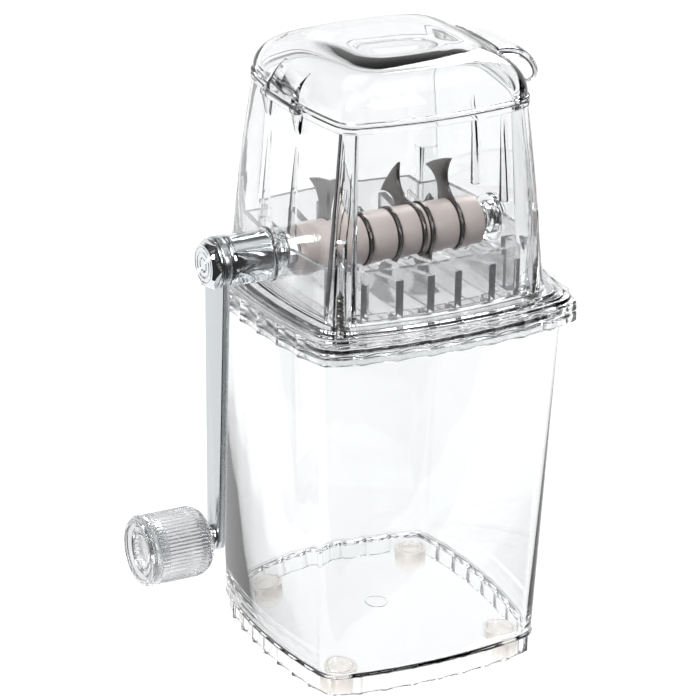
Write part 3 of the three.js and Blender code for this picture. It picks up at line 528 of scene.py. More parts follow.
# %% Flute tree
def flute_tree():
    tree = bpy.data.node_groups.new("flutes", "GeometryNodeTree")
    tree.interface.new_socket("Geometry", in_out="INPUT", socket_type="NodeSocketGeometry")
    tree.interface.new_socket("Flutes", in_out="INPUT", socket_type="NodeSocketInt")
    tree.interface.new_socket("Depth", in_out="INPUT", socket_type="NodeSocketFloat")
    tree.interface.new_socket("Material", in_out="INPUT", socket_type="NodeSocketMaterial")
    tree.interface.new_socket("Geometry", in_out="OUTPUT", socket_type="NodeSocketGeometry")
    given = add(tree, "NodeGroupInput").outputs
    around = add(tree, "GeometryNodeInputNamedAttribute", {"data_type": "FLOAT"}, {"Name": "around"})
    push = add(tree, "GeometryNodeInputNamedAttribute", {"data_type": "FLOAT_VECTOR"}, {"Name": "push"})
    count = add(tree, "ShaderNodeMath", {"operation": "MULTIPLY"}, {
        0: around.outputs["Attribute"], 1: given["Flutes"]})
    within = add(tree, "ShaderNodeMath", {"operation": "FRACT"}, {0: count.outputs[0]})
    from_middle = add(tree, "ShaderNodeMath", {"operation": "MULTIPLY_ADD"}, {
        0: within.outputs[0], 1: 2.0, 2: -1.0})
    rise = add(tree, "ShaderNodeMath", {"operation": "MULTIPLY"}, {
        0: from_middle.outputs[0], 1: from_middle.outputs[0]})
    height = add(tree, "ShaderNodeMath", {"operation": "MULTIPLY"}, {0: rise.outputs[0], 1: given["Depth"]})
    offset = add(tree, "ShaderNodeVectorMath", {"operation": "SCALE"}, {
        0: push.outputs["Attribute"], "Scale": height.outputs[0]})
    moved = add(tree, "GeometryNodeSetPosition", inputs={
        "Geometry": given["Geometry"], "Offset": offset.outputs[0]})
    real = add(tree, "GeometryNodeRealizeInstances", inputs={0: moved.outputs[0]})
    painted = add(tree, "GeometryNodeSetMaterial", inputs={
        "Geometry": real.outputs[0], "Material": given["Material"]})
    add(tree, "NodeGroupOutput", inputs={"Geometry": painted.outputs[0]})
    return tree


def grown(piece, tree, values):
    """Runs a Geometry Nodes tree on a piece with its named inputs set, and keeps the plain mesh."""
    change = piece.modifiers.new(tree.name, "NODES")
    change.node_group = tree
    for item in tree.interface.items_tree:
        if item.in_out == "INPUT" and item.name in values:
            change[item.identifier] = values[item.name]
    return baked(piece)


FLUTE_TREE = flute_tree()


def fluted(piece, material, flutes=FLUTES, depth=FLUTE_DEPTH):
    return grown(piece, FLUTE_TREE, {"Flutes": flutes, "Depth": depth * MM, "Material": material})


print("flute tree has", len(FLUTE_TREE.nodes), "nodes")

# %% [markdown]
# ## The container
# One moulding: a floor with a fluted skirt hanging below it, walls that flare upwards, and a rolled rim
# that is fluted like the skirt. Its profile is drawn once, from under the floor, round the outside and
# down the inside, and carried round the plan. Four pegs for the feet are joined on, and the mark where
# the plastic was fed into the mould is a shallow round dish under the floor.

# %% Container
FLOOR_UNDERSIDE = 9.3
FLOOR_TOP = 11.5
FLOOR_HALF = 51.9
SKIRT_HALF = 49.7
WALL_HALF_LOW = 51.5
WALL_HALF_HIGH = 57
RIM_HALF = 61.1
RIM_HEIGHT = 4.1
RIM_WALL = 1.7
RIM_ROOF = 1.9
SKIRT_WALL = 1.9
WALL = 2.2
FOOT_SPACING = 36
PEG_BOTTOM = 5.2
PEG_RADIUS = 5
GATE_RADIUS = 4.8


def make_container():
    skirt_inner = SKIRT_HALF - SKIRT_WALL
    ledge = FLOOR_TOP - 0.9
    rim_bottom = CONTAINER_TOP - RIM_HEIGHT
    rim_roof = CONTAINER_TOP - RIM_ROOF
    rim_inner = RIM_HALF - RIM_WALL
    shell = moulding("container_shell", [
        row(skirt_inner, FLOOR_UNDERSIDE),
        row(skirt_inner, SKIRT_BOTTOM, 0.6),
        row(SKIRT_HALF, SKIRT_BOTTOM, 0.6, 1),
        row(SKIRT_HALF, ledge, 0.3, 1),
        row(FLOOR_HALF, ledge, 0.4),
        row(FLOOR_HALF, FLOOR_TOP, 0.5),
        row(WALL_HALF_LOW, FLOOR_TOP + 0.6, 0.4),
        row(WALL_HALF_HIGH, rim_roof, 0.5),
        row(rim_inner, rim_roof, 0.5),
        row(rim_inner, rim_bottom, 0.5),
        row(RIM_HALF, rim_bottom, 0.6, 1),
        row(RIM_HALF, CONTAINER_TOP, 0.6, 1),
        row(WALL_HALF_HIGH - WALL, CONTAINER_TOP, 0.4, **inside_of(WALL_HALF_HIGH, WALL)),
        row(WALL_HALF_LOW - WALL, FLOOR_TOP, 1.2, **inside_of(WALL_HALF_LOW, WALL)),
        row(WALL_HALF_LOW - 6, FLOOR_TOP),
    ])
    fluted(shell, clear_moulding)
    pegs = [rod("peg", (x, y, PEG_BOTTOM), (x, y, FLOOR_UNDERSIDE + 0.5), PEG_RADIUS)
            for x, y in at_corners(FOOT_SPACING)]
    combined(shell, pegs, "UNION")
    dish = rod("dish", (0, 0, FLOOR_UNDERSIDE - 1), (0, 0, FLOOR_UNDERSIDE + 0.5), GATE_RADIUS,
               GATE_RADIUS - 0.4)
    combined(shell, [dish], "DIFFERENCE")
    return shell


finished(make_container(), "container", clear_moulding, ["container"])

# %% [markdown]
# ## The feet
# Each foot is a soft cup pushed on a peg, with fine upright ribs for grip. It is a turned profile that
# starts and ends on its axis, and the flute tree makes the ribs.


# %% Feet
POINTS_PER_RIB = 6
FOOT_RIBS = 24
FOOT_RIB_DEPTH = 0.3
FOOT_HEIGHT = 8.9
FOOT_SOLE = 3
FOOT_BORE = 5.3


def make_foot(corner, x, y):
    profile = [(0, 0, 0), (0, 6.2, 0.6), (FOOT_HEIGHT, 6.7, 0.4), (FOOT_HEIGHT, FOOT_BORE, 0.3),
               (FOOT_SOLE, FOOT_BORE, 0.3), (FOOT_SOLE, 0, 0)]
    ribbed = (0.6, FOOT_HEIGHT - 0.5, FOOT_BORE + 0.3)
    cup = turned(f"cup_{corner}", profile, (x, y, 0), "Z", FOOT_RIBS * POINTS_PER_RIB, ribbed)
    fluted(cup, elastomer, FOOT_RIBS, FOOT_RIB_DEPTH)
    finished(cup, "container", elastomer, [f"foot_{corner}"])


for corner, (x, y) in zip(CORNER_NAMES, at_corners(FOOT_SPACING)):
    make_foot(corner, x, y)

# %% [markdown]
# ## The head's base plate
# A ring with the same fluted rim as the container, a spigot below that drops into the container's mouth,
# and a rounded bead on top that the hopper's flange sits inside. Its inner opening is nearly square, so
# those rows of the profile carry their own bow and corner. Four holes let the screws through.

# %% Base plate
BEAD_HALF = 59.6
OPENING_HALF = 40.4
POST_SPACING = 41
POST_BORE = 2.15
PLATE = 1.9
SPIGOT_WALL = 2
SPIGOT_DEPTH = 7
SPIGOT_GAP = 0.6
BEAD_RISE = 1.1


def make_base():
    plate_bottom = BASE_TOP - PLATE
    spigot_half = WALL_HALF_HIGH - WALL - SPIGOT_GAP
    lip_inner = RIM_HALF - RIM_WALL
    square = {"bow": 0.02, "corner": 0.3}
    ring = moulding("head_ring", [
        row(RIM_HALF, BASE_BOTTOM, 0.6, 1),
        row(RIM_HALF - 0.2, BASE_TOP - 0.4, 0.6, 1),
        row(RIM_HALF - 1, BASE_TOP, 0.3),
        row(BEAD_HALF, BASE_TOP + BEAD_RISE, 0.5),
        row(BEAD_HALF - 1.3, BASE_TOP + BEAD_RISE, 0.5),
        row(BEAD_HALF - 1.6, BASE_TOP, 0.3),
        row(OPENING_HALF, BASE_TOP, 0.5, **square),
        row(OPENING_HALF, plate_bottom, 0.5, **square),
        row(spigot_half - SPIGOT_WALL, plate_bottom, 0.6),
        row(spigot_half - SPIGOT_WALL, BASE_BOTTOM - SPIGOT_DEPTH, 0.6),
        row(spigot_half - 0.4, BASE_BOTTOM - SPIGOT_DEPTH, 0.6),
        row(spigot_half, plate_bottom, 0.6),
        row(lip_inner, plate_bottom, 0.5),
        row(lip_inner, BASE_BOTTOM, 0.5),
    ], closed=True)
    fluted(ring, clear_moulding)
    holes = [rod("hole", (x, y, plate_bottom - 1), (x, y, BASE_TOP + 1), POST_BORE)
             for x, y in at_corners(POST_SPACING)]
    return combined(ring, holes, "DIFFERENCE")


finished(make_base(), "head", clear_moulding, ["head_base"])

# %% [markdown]
# ## The hopper
# A shell that narrows upwards along a gentle curve, with a stepped flange at its foot and a small ledge
# round its rim, which catches the light as a line under the lid. Inside, each corner
# holds a tall screw post that leans with the wall, and slim ribs run up from the bosses that carry the
# shaft. They are all joined to the shell, and then the bores are cut through the joined body, which is
# how a mould makes them too: cores pulled out of one piece of plastic.

# %% Hopper
HOPPER_ROOT = 158
HOPPER_TOP = HINGE_Z - 0.15
HOPPER_HALF_ROOT = 50.1
HOPPER_HALF_TOP = 44
HOPPER_CURVE = 1.6
POST_SPACING_TOP = 35.8
POST_RADIUS = 5.6
POST_RADIUS_TOP = 3.2
POST_TOP = 229.5
POST_BORE_TOP = 189.4
BOSS_RADIUS = 9.4
BOSS_INNER = 44.3
BOSS_OUTER = 49.5
PAST_HEAD = 60  # a tool this long to each side cuts right through the head
BUSH_RADIUS = 6.5
KNUCKLE_RADIUS = 2.2
KNUCKLE_HALF_WIDTH = 10
EAR_WIDTH = 3.7
PIN_HOLE_RADIUS = 1.3
PIN_HOLE_REACH = 20
FLANGE_HALF = 57.7
FLANGE_STEP = 1.2
FLANGE_RISE = 1.1
LEDGE_WIDTH = 0.6
WALL_LEVELS = 9


def hopper_half(z):
    share = max(0, (z - HOPPER_ROOT) / (HOPPER_TOP - HOPPER_ROOT))
    return HOPPER_HALF_ROOT - (HOPPER_HALF_ROOT - HOPPER_HALF_TOP) * share**HOPPER_CURVE


def hopper_shell():
    step = HOPPER_BOTTOM + FLANGE_STEP
    levels = [HOPPER_ROOT + k / WALL_LEVELS * (HOPPER_TOP - HOPPER_ROOT) for k in range(WALL_LEVELS + 1)]
    outside = [row(hopper_half(z), z, 0.8 if z == HOPPER_ROOT else 0) for z in levels[:-1]]
    inside = [row(hopper_half(z) - WALL, z, **inside_of(hopper_half(z), WALL)) for z in levels[-2::-1]]
    return moulding("hopper_shell", [
        row(FLANGE_HALF, HOPPER_BOTTOM, 0.4),
        row(FLANGE_HALF, step, 0.5),
        row(55.2, step, 0.4),
        row(54.9, step + FLANGE_RISE, 0.5),
        row(51.2, step + FLANGE_RISE, 0.6),
        *outside,
        row(hopper_half(HOPPER_TOP - 2.4), HOPPER_TOP - 2.4, 0.1),
        row(HOPPER_HALF_TOP + LEDGE_WIDTH, HOPPER_TOP - 2, 0.3),
        row(HOPPER_HALF_TOP + LEDGE_WIDTH, HOPPER_TOP, 0.4),
        row(HOPPER_HALF_TOP - WALL, HOPPER_TOP, 0.6, **inside_of(HOPPER_HALF_TOP, WALL)),
        *inside,
        row(HOPPER_HALF_ROOT - WALL, HOPPER_BOTTOM, 0.8, **inside_of(HOPPER_HALF_ROOT, WALL)),
    ], closed=True)


def wall_rib(side, y):
    """A slender wedge that climbs the inner face of a side wall above the shaft boss."""
    low, high = SHAFT_Z + 10, SHAFT_Z + 45
    x_low, x_high = hopper_half(low) - 1, hopper_half(high) - 1
    profile = [(side * x, z) for x, z in (
        (x_low, low), (x_high, high), (x_high - 1.6, high), (x_low - 4.2, low))]
    return prism("rib", profile, y - 1.2, y + 1.2, "Y")


def hinge_ear(side):
    inner, outer = KNUCKLE_HALF_WIDTH + FIT, KNUCKLE_HALF_WIDTH + FIT + EAR_WIDTH
    drop = [HINGE_Z - 9, HINGE_Z - 0.6]
    gusset = [(HINGE_X + 1.8, drop[1]), (HINGE_X - 1.8, drop[1]), (HINGE_X + 0.2, drop[0]),
              (HINGE_X + 1.8, drop[0])]
    block = prism("gusset", gusset, min(side * inner, side * outer), max(side * inner, side * outer), "Y")
    barrel = rod("barrel", (HINGE_X, side * inner, HINGE_Z), (HINGE_X, side * outer, HINGE_Z),
                 KNUCKLE_RADIUS)
    return combined(block, [barrel], "UNION")


def on_hinge(name, reach, radius):
    return rod(name, (HINGE_X, -reach, HINGE_Z), (HINGE_X, reach, HINGE_Z), radius)


def through_head(name, radius, segments=48):
    return rod(name, (-PAST_HEAD, 0, SHAFT_Z), (PAST_HEAD, 0, SHAFT_Z), radius, segments=segments)


def make_hopper():
    shell = hopper_shell()
    posts = [rod("post", (sx * POST_SPACING, sy * POST_SPACING, HOPPER_BOTTOM),
                 (sx * POST_SPACING_TOP, sy * POST_SPACING_TOP, POST_TOP), POST_RADIUS, POST_RADIUS_TOP)
             for sx, sy in CORNERS]
    bosses = [rod("boss", (side * BOSS_INNER, 0, SHAFT_Z), (side * BOSS_OUTER, 0, SHAFT_Z), BOSS_RADIUS)
              for side in (-1, 1)]
    ribs = [wall_rib(side, y) for side in (-1, 1) for y in (-11, 11)]
    combined(shell, posts + bosses, "UNION")
    combined(shell, ribs, "UNION")
    combined(shell, [hinge_ear(side) for side in (-1, 1)], "UNION")
    bores = [rod("bore", (x, y, HOPPER_BOTTOM - 1), (x, y, POST_BORE_TOP), POST_BORE)
             for x, y in at_corners(POST_SPACING)]
    shaft_hole = through_head("shaft_hole", BUSH_RADIUS + FIT, 64)
    combined(shell, bores + [shaft_hole], "DIFFERENCE")
    combined(shell, [on_hinge("room", KNUCKLE_HALF_WIDTH + FIT, KNUCKLE_RADIUS + FIT)], "DIFFERENCE")
    return combined(shell, [on_hinge("pin_hole", PIN_HOLE_REACH, PIN_HOLE_RADIUS)], "DIFFERENCE")


finished(make_hopper(), "head", clear_moulding, ["hopper"])

# %% [markdown]
# ## The comb
# Under the shaft hangs an open cross-shaped frame whose fins pass between the picks. A cross of straight
# walls is quickest as prisms: an outer one, less an inner one, less the throat that the ice falls through.
# The ends are bowed by keeping only what lies inside the hopper's own plan. The fins repeat along the
# shaft, so one outline is placed six times.

# %% Comb
COMB_HALF = 46.4
COMB_ARM = 34
COMB_TOP = 177
COMB_WALL = 2
COMB_FLOOR = 1.6
COMB_OPENING = 38
FIN_THICKNESS = 3
DRUM_GAP = 1.6
FIN_PLACES = [-31.6, -18.1, -5.3, 6.3, 21.5, 33.2]


def cross(half, arm, low, high):
    outline_points = [(-half, -arm), (-arm, -arm), (-arm, -half), (arm, -half), (arm, -arm), (half, -arm),
                      (half, arm), (arm, arm), (arm, half), (-arm, half), (-arm, arm), (-half, arm)]
    block = prism("cross", outline_points, low, high)
    bowed = moulding("bowed", [row(half, low), row(half, high)])
    return combined(block, [bowed], "INTERSECT")


def make_fin(x):
    low, floor, top = BASE_BOTTOM + 0.3, HOPPER_BOTTOM + COMB_FLOOR / 2, COMB_TOP - 5
    reach, narrow = COMB_HALF - COMB_WALL / 2, COMB_OPENING - 0.4
    shoulder_y, shoulder_z = DRUM_RADIUS + 3.1, SHAFT_Z - 6
    outline_points = [(-narrow, low), (narrow, low), (narrow, floor), (reach, floor), (reach, top),
                      (shoulder_y, shoulder_z), (-shoulder_y, shoulder_z), (-reach, top), (-reach, floor),
                      (-narrow, floor)]
    return prism("fin", outline_points, x - FIN_THICKNESS / 2, x + FIN_THICKNESS / 2, "X")


def make_comb():
    slot = BOSS_RADIUS + 0.8
    frame_block = cross(COMB_HALF, COMB_ARM, HOPPER_BOTTOM, COMB_TOP)
    combined(frame_block, [cross(COMB_HALF - COMB_WALL, COMB_ARM - COMB_WALL,
                                 HOPPER_BOTTOM + COMB_FLOOR, COMB_TOP + 1)], "DIFFERENCE")
    combined(frame_block, [cross(COMB_OPENING, COMB_OPENING - 8, HOPPER_BOTTOM - 1, COMB_TOP)], "DIFFERENCE")
    saddle = through_head("saddle", slot)
    above = prism("above", [(-slot, SHAFT_Z), (slot, SHAFT_Z), (slot, COMB_TOP + 1), (-slot, COMB_TOP + 1)],
                  -PAST_HEAD, PAST_HEAD, "X")
    combined(saddle, [above], "UNION")
    combined(frame_block, [saddle], "DIFFERENCE")
    fins = merged([make_fin(x) for x in FIN_PLACES])
    combined(fins, [cross(COMB_HALF - COMB_WALL / 2, COMB_ARM + 1.5, BASE_BOTTOM, COMB_TOP)], "INTERSECT")
    drum_room = through_head("drum_room", DRUM_RADIUS + DRUM_GAP, 64)
    combined(fins, [drum_room], "DIFFERENCE")
    combined(frame_block, [fins], "UNION")
    frame_block.name = "comb_moulding"
    return frame_block


finished(make_comb(), "head", worn_clear, ["comb"], 20)

# %% [markdown]
# ## The lid
# The dome's width shrinks as a power of the cosine of its slope while its height grows as the sine, which
# gives a full shoulder and a nearly flat crown. Its plan turns rounder towards the crown, and its wall
# grows thicker there, so that the crown bends light like a lens and shows the dark band that such lids
# have. A thin lip drops into the hopper's mouth, and a small ledge runs round the rim. The finger tab is a
# crowned tongue that leaves the dome and droops over the far edge, and a strap with the hinge's knuckle
# stands on the near side. Both are drawn as surfaces and joined to the dome.

# %% Lid
LID_BOTTOM = HOPPER_TOP + FIT
LID_HALF = 44.6
LID_EDGE = 2.2
LID_RISE = lid_high.z - LID_BOTTOM - LID_EDGE
LID_SHOULDER = 0.45
DOME_STEPS = 26
CROWN_CORNER = 0.8  # of the half width: the corners' radius at the crown
LENS_EXTRA = 1.7    # the crown is thicker than the flanks by this much
LENS_EDGE = 0.86    # of the half width, where the thickening starts
LENS_FLAT = 0.42    # of the half width, where it is complete
LIP_DEPTH = 1.8
LIP_WALL = 1.5
LID_LEDGE = 0.7
TAB_TIP_X = lid_high.x - AXIS_X
TAB_HALF_WIDTH = 17
TAB_THICKNESS = 2.1


def dome_rows(half, bottom, rise, extra=0.0):
    rows = []
    for k in range(DOME_STEPS + 1):
        angle = 0.985 * k / DOME_STEPS * math.pi / 2
        width = math.cos(angle) ** LID_SHOULDER
        share = max(0.0, min(1.0, (LENS_EDGE - width) / (LENS_EDGE - LENS_FLAT)))
        lens = extra * share * share * (3 - 2 * share)
        rows.append(row(half * width, bottom + rise * math.sin(angle) - lens,
                        corner=CORNER_RADIUS + (CROWN_CORNER - CORNER_RADIUS) * (1 - width)))
    return rows


def lid_dome():
    crown = LID_BOTTOM + LID_EDGE
    lip = HOPPER_HALF_TOP - WALL - 0.7
    inside = dome_rows(lip - LIP_WALL, crown - 0.4, LID_RISE - WALL + 0.4, LENS_EXTRA)
    outside = dome_rows(LID_HALF - LID_LEDGE, crown, LID_RISE)
    return moulding("lid_dome", [
        *reversed(inside),
        row(lip - LIP_WALL, LID_BOTTOM - LIP_DEPTH, 0.5),
        row(lip, LID_BOTTOM - LIP_DEPTH, 0.5),
        row(lip, LID_BOTTOM, 0.4),
        row(LID_HALF, LID_BOTTOM, 0.5),
        row(LID_HALF, LID_BOTTOM + 1.5, 0.4),
        row(LID_HALF - LID_LEDGE, LID_BOTTOM + 1.8, 0.2),
        *outside,
    ])


def bezier(controls, t):
    """A point on the curve that a row of control points pulls."""
    while len(controls) > 1:
        controls = [a.lerp(b, t) for a, b in zip(controls, controls[1:])]
    return controls[0]


def lid_tab():
    """A tongue: a path in the XZ plane, crowned across its width and narrowed to a round tip."""
    seam = LID_BOTTOM
    path = [Vector(p) for p in ((36, seam + 14), (47, seam + 16), (TAB_TIP_X - 4, seam + 11.5),
                                (TAB_TIP_X + 1.2, seam + 4), (TAB_TIP_X - 0.1, seam - 4.4))]
    along, across = 28, 24
    top, bottom = [], []
    for i in range(along + 1):
        t = i / along
        here, ahead = bezier(path, t), bezier(path, min(1, t + 0.01))
        behind = bezier(path, max(0, t - 0.01))
        slope = (ahead - behind).normalized()
        normal = Vector((-slope.y, slope.x))
        width = TAB_HALF_WIDTH * math.sqrt(1 - max(0, (t - 0.45) / 0.62) ** 3)
        for j in range(across + 1):
            v = 2 * j / across - 1
            crown = 2.6 * v * v * (0.35 + 0.65 * t)
            y = width * math.sin(v * math.pi / 2)
            for rows, depth in ((top, 0), (bottom, TAB_THICKNESS)):
                p = here - normal * (crown + depth)
                rows.append((p.x, y, p.y))
    count = (along + 1) * (across + 1)
    faces = []
    for i in range(along):
        for j in range(across):
            a = i * (across + 1) + j
            faces.append((a, a + 1, a + across + 2, a + across + 1))
            faces.append(tuple(count + k for k in (a, a + across + 1, a + across + 2, a + 1)))
    rim = [j for j in range(across)] + [i * (across + 1) + across for i in range(along)]
    rim += [along * (across + 1) + j for j in range(across, 0, -1)]
    rim += [i * (across + 1) for i in range(along, 0, -1)]
    for a, b in zip(rim, rim[1:] + rim[:1]):
        faces.append((a, b, count + b, count + a))
    return make_piece("tab", top + bottom, faces)


def lid_strap():
    profile = [(HINGE_X - 1.8, HINGE_Z + 1), (HINGE_X - 1.2, HINGE_Z + 4.5), (-43, HINGE_Z + 9.5),
               (-39, HINGE_Z + 13), (-37.5, HINGE_Z + 11.5), (-43, HINGE_Z + 1)]
    strap = prism("strap", profile, -KNUCKLE_HALF_WIDTH, KNUCKLE_HALF_WIDTH, "Y")
    return combined(strap, [on_hinge("knuckle", KNUCKLE_HALF_WIDTH, KNUCKLE_RADIUS)], "UNION")


def make_lid():
    dome = lid_dome()
    combined(dome, [lid_tab()], "UNION")
    combined(dome, [lid_strap()], "UNION")
    reach = KNUCKLE_HALF_WIDTH + EAR_WIDTH + 2 * FIT
    rooms = [rod("ear_room", (HINGE_X, side * KNUCKLE_HALF_WIDTH, HINGE_Z), (HINGE_X, side * reach, HINGE_Z),
                 KNUCKLE_RADIUS + FIT) for side in (-1, 1)]
    combined(dome, rooms, "DIFFERENCE")
    return combined(dome, [on_hinge("pin_hole", PIN_HOLE_REACH, PIN_HOLE_RADIUS)], "DIFFERENCE")


finished(make_lid(), "lid", clear_moulding, ["lid"])

# %% [markdown]
# ## Bushes
# The shaft turns in two clear bushes. The crank-side one shows outside the hopper as a stack of stepped
# rings between the wall and the crank's sleeve. The far one is a blind cup. Both are turned pieces.

# %% Bushes
SHAFT_BORE = 4.25
BUSH_INNER_END = 43.8
BUSH_FLANGE_RADIUS = 10.6
BUSH_FLANGE = 1.5
BUSH_OUTER_END = AXIS_X - box_mm("bush_crank_side")[0].x
BLIND_END = 48.3
ON_SHAFT = (0, 0, SHAFT_Z)


def make_bushes():
    end, waist = BUSH_OUTER_END, BUSH_OUTER_END - BUSH_FLANGE
    crank_side = turned("crank_side_bush", [
        (-BUSH_INNER_END, SHAFT_BORE, 0.2), (-BUSH_INNER_END, BUSH_RADIUS, 0.3),
        (-waist, BUSH_RADIUS, 0.2), (-waist, BUSH_FLANGE_RADIUS, 0.4),
        (-end, BUSH_FLANGE_RADIUS, 0.4), (-end, SHAFT_BORE, 0.2)], ON_SHAFT)
    finished(crank_side, "head", clear_moulding, ["bush_crank_side"])
    cover = BLIND_END + 1.3
    far_side = turned("far_side_bush", [
        (BLIND_END, 0, 0), (BLIND_END, SHAFT_BORE, 0.2), (BUSH_INNER_END, SHAFT_BORE, 0.2),
        (BUSH_INNER_END, BUSH_RADIUS, 0.3), (cover, BUSH_RADIUS, 0.5), (cover, 0, 0)], ON_SHAFT)
    finished(far_side, "head", clear_moulding, ["bush_far_side"])


make_bushes()

# %% [markdown]
# ## Spacers, picks and shaft
# Seven moulded spacers and six stamped picks are threaded on a hexagonal shaft. The spacers' lengths come
# from the frame. Each is turned with a soft edge. A pick is stamped from sheet: an outline with a hexagonal
# hole, given its thickness and a small bevel. A filled 2-D curve does that in one step, holes included,
# and is then made a mesh.

# %% Spacers
SPACER_COUNT = 7
SPACER_BORE = 4.8


def make_spacer(number):
    low, high = box_mm(f"spacer_{number}")
    start, end = low.x - AXIS_X, high.x - AXIS_X
    drum = turned(f"drum_{number}", [
        (start, SPACER_BORE, 0), (start, DRUM_RADIUS, 0.5), (end, DRUM_RADIUS, 0.5),
        (end, SPACER_BORE, 0)], ON_SHAFT, segments=96)
    finished(drum, "crank", acetal, [f"spacer_{number}"], 40)


for number in range(1, SPACER_COUNT + 1):
    make_spacer(number)


# %% Plates cut from sheet
def plate(name, outlines, x_low, x_high, bevel):
    """A plate across X from outlines in Y and Z. The first is its edge and the others are holes."""
    sheet = bpy.data.curves.new(name, "CURVE")
    sheet.dimensions = "2D"
    sheet.fill_mode = "BOTH"
    sheet.extrude = ((x_high - x_low) / 2 - bevel) * MM
    sheet.bevel_depth = bevel * MM
    sheet.bevel_resolution = 2
    sheet.offset = -bevel * MM
    for points in outlines:
        spline = sheet.splines.new("POLY")
        spline.points.add(len(points) - 1)
        for target, (y, z) in zip(spline.points, points):
            target.co = (y * MM, z * MM, 0, 1)
        spline.use_cyclic_u = True
    drawn = bpy.data.objects.new(name + "_outline", sheet)
    bpy.context.scene.collection.objects.link(drawn)
    graph = bpy.context.evaluated_depsgraph_get()
    mesh = bpy.data.meshes.new_from_object(drawn.evaluated_get(graph), depsgraph=graph)
    bpy.data.objects.remove(drawn)
    middle = ((x_low + x_high) / 2 + AXIS_X) * MM
    mesh.transform(Matrix(((0, 0, 1, middle), (1, 0, 0, 0), (0, 1, 0, 0), (0, 0, 0, 1))))
    welded = bmesh.new()
    welded.from_mesh(mesh)
    bmesh.ops.remove_doubles(welded, verts=welded.verts, dist=1e-6)
    bmesh.ops.recalc_face_normals(welded, faces=welded.faces)
    welded.to_mesh(mesh)
    welded.free()
    piece = bpy.data.objects.new(name, mesh)
    bpy.context.scene.collection.objects.link(piece)
    return piece


def hexagon(flats, turn=0.0):
    return [(flats / math.sqrt(3) * math.cos(turn + k * math.pi / 3),
             flats / math.sqrt(3) * math.sin(turn + k * math.pi / 3)) for k in range(6)]


print("plates are cut from 2-D curves")

# %% Picks
PICK_ANGLES = [78, 300, 265, 40, 250, 66]  # from +Y towards +Z
PICK_HUB = 10.8
PICK_TIP = 26.6
PICK_EDGE = 25.2
PICK_TIP_ANGLE = 23
PICK_ROOT_ANGLE = 38
PICK_HOLE_FLATS = 8.6
PICK_BEVEL = 0.22
STROKE_POINTS = 8
HUB_POINTS = 40


def pick_outline(angle):
    """A hub ring and one arm that ends in two swept horns. Each side is three short pulled curves."""
    def at(radius, degrees):
        turn = math.radians(angle + degrees)
        return Vector((radius * math.cos(turn), SHAFT_Z + radius * math.sin(turn)))

    root, waist, tip = (PICK_HUB, PICK_ROOT_ANGLE), (17.2, 12.5), (PICK_TIP, PICK_TIP_ANGLE)
    side = [(root, (13.4, 14), waist), (waist, (21.6, 11.5), tip),
            (tip, (PICK_EDGE + 0.6, 10), (PICK_EDGE, 0))]
    points = []
    for mirror in (1, -1):
        strokes = side if mirror == 1 else [stroke[::-1] for stroke in side[::-1]]
        for stroke in strokes:
            controls = [at(radius, mirror * degrees) for radius, degrees in stroke]
            points += [bezier(controls, k / STROKE_POINTS) for k in range(STROKE_POINTS)]
    sweep = 360 - 2 * PICK_ROOT_ANGLE
    points += [at(PICK_HUB, -PICK_ROOT_ANGLE - sweep * k / HUB_POINTS) for k in range(HUB_POINTS)]
    return [tuple(p) for p in points]


def on_shaft(points):
    return [(y, z + SHAFT_Z) for y, z in points]


for number, angle in enumerate(PICK_ANGLES, 1):
    low, high = box_mm(f"pick_{number}")
    pick = plate(f"stamped_pick_{number}", [pick_outline(angle), on_shaft(hexagon(PICK_HOLE_FLATS))],
                 low.x - AXIS_X, high.x - AXIS_X, PICK_BEVEL)
    finished(pick, "crank", stamped_steel, [f"pick_{number}"], 25)

# %% Shaft and clip
SHAFT_RADIUS = 4
SHAFT_CORE = 3.6
SHAFT_FLATS = 8
SHAFT_HEX_END = 43.3
CLIP_START = 40.1
CLIP_END = 41.1
CLIP_BORE = 4.9
CLIP_RADIUS = 6.6


def make_shaft():
    low, high = box_mm("shaft")
    start, end = low.x - AXIS_X, high.x - AXIS_X
    shoulder = SHAFT_HEX_END + 0.3
    journals = turned("hexagonal_shaft", [
        (start, 0, 0), (start, SHAFT_RADIUS, 0.5), (-shoulder, SHAFT_RADIUS, 0), (-shoulder, SHAFT_CORE, 0),
        (shoulder, SHAFT_CORE, 0), (shoulder, SHAFT_RADIUS, 0), (end, SHAFT_RADIUS, 0.5), (end, 0, 0)],
        ON_SHAFT)
    flats = plate("flats", [on_shaft(hexagon(SHAFT_FLATS))], -SHAFT_HEX_END, SHAFT_HEX_END, 0.2)
    combined(journals, [flats], "UNION")
    finished(journals, "crank", drawn_steel, ["shaft"], 25)
    clip = turned("shaft_spring_clip", [
        (CLIP_START, CLIP_BORE, 0.2), (CLIP_START, CLIP_RADIUS, 0.2), (CLIP_END, CLIP_RADIUS, 0.2),
        (CLIP_END, CLIP_BORE, 0.2)], ON_SHAFT)
    finished(clip, "crank", drawn_steel, ["shaft_clip"])


make_shaft()

# %% [markdown]
# ## The crank
# A chromed sleeve covers the shaft between the bush and the arm. The arm is a flat bar that narrows from
# its eye to a round end. A washer and a cap nut clamp it. The nut's face carries turned rings, so its
# profile simply steps in and out on the way to the axis.

# %% Sleeve, washer and arm
SLEEVE_RADIUS = 10.2
ARM_END_RADIUS = 5.2
ARM_TOP_HALF = 8
WASHER_RADIUS = 9.6
SPINDLE_HOLE = 2.9
HOLE_STEPS = 32


def node_span(node):
    low, high = box_mm(node)
    return low.x - AXIS_X, high.x - AXIS_X


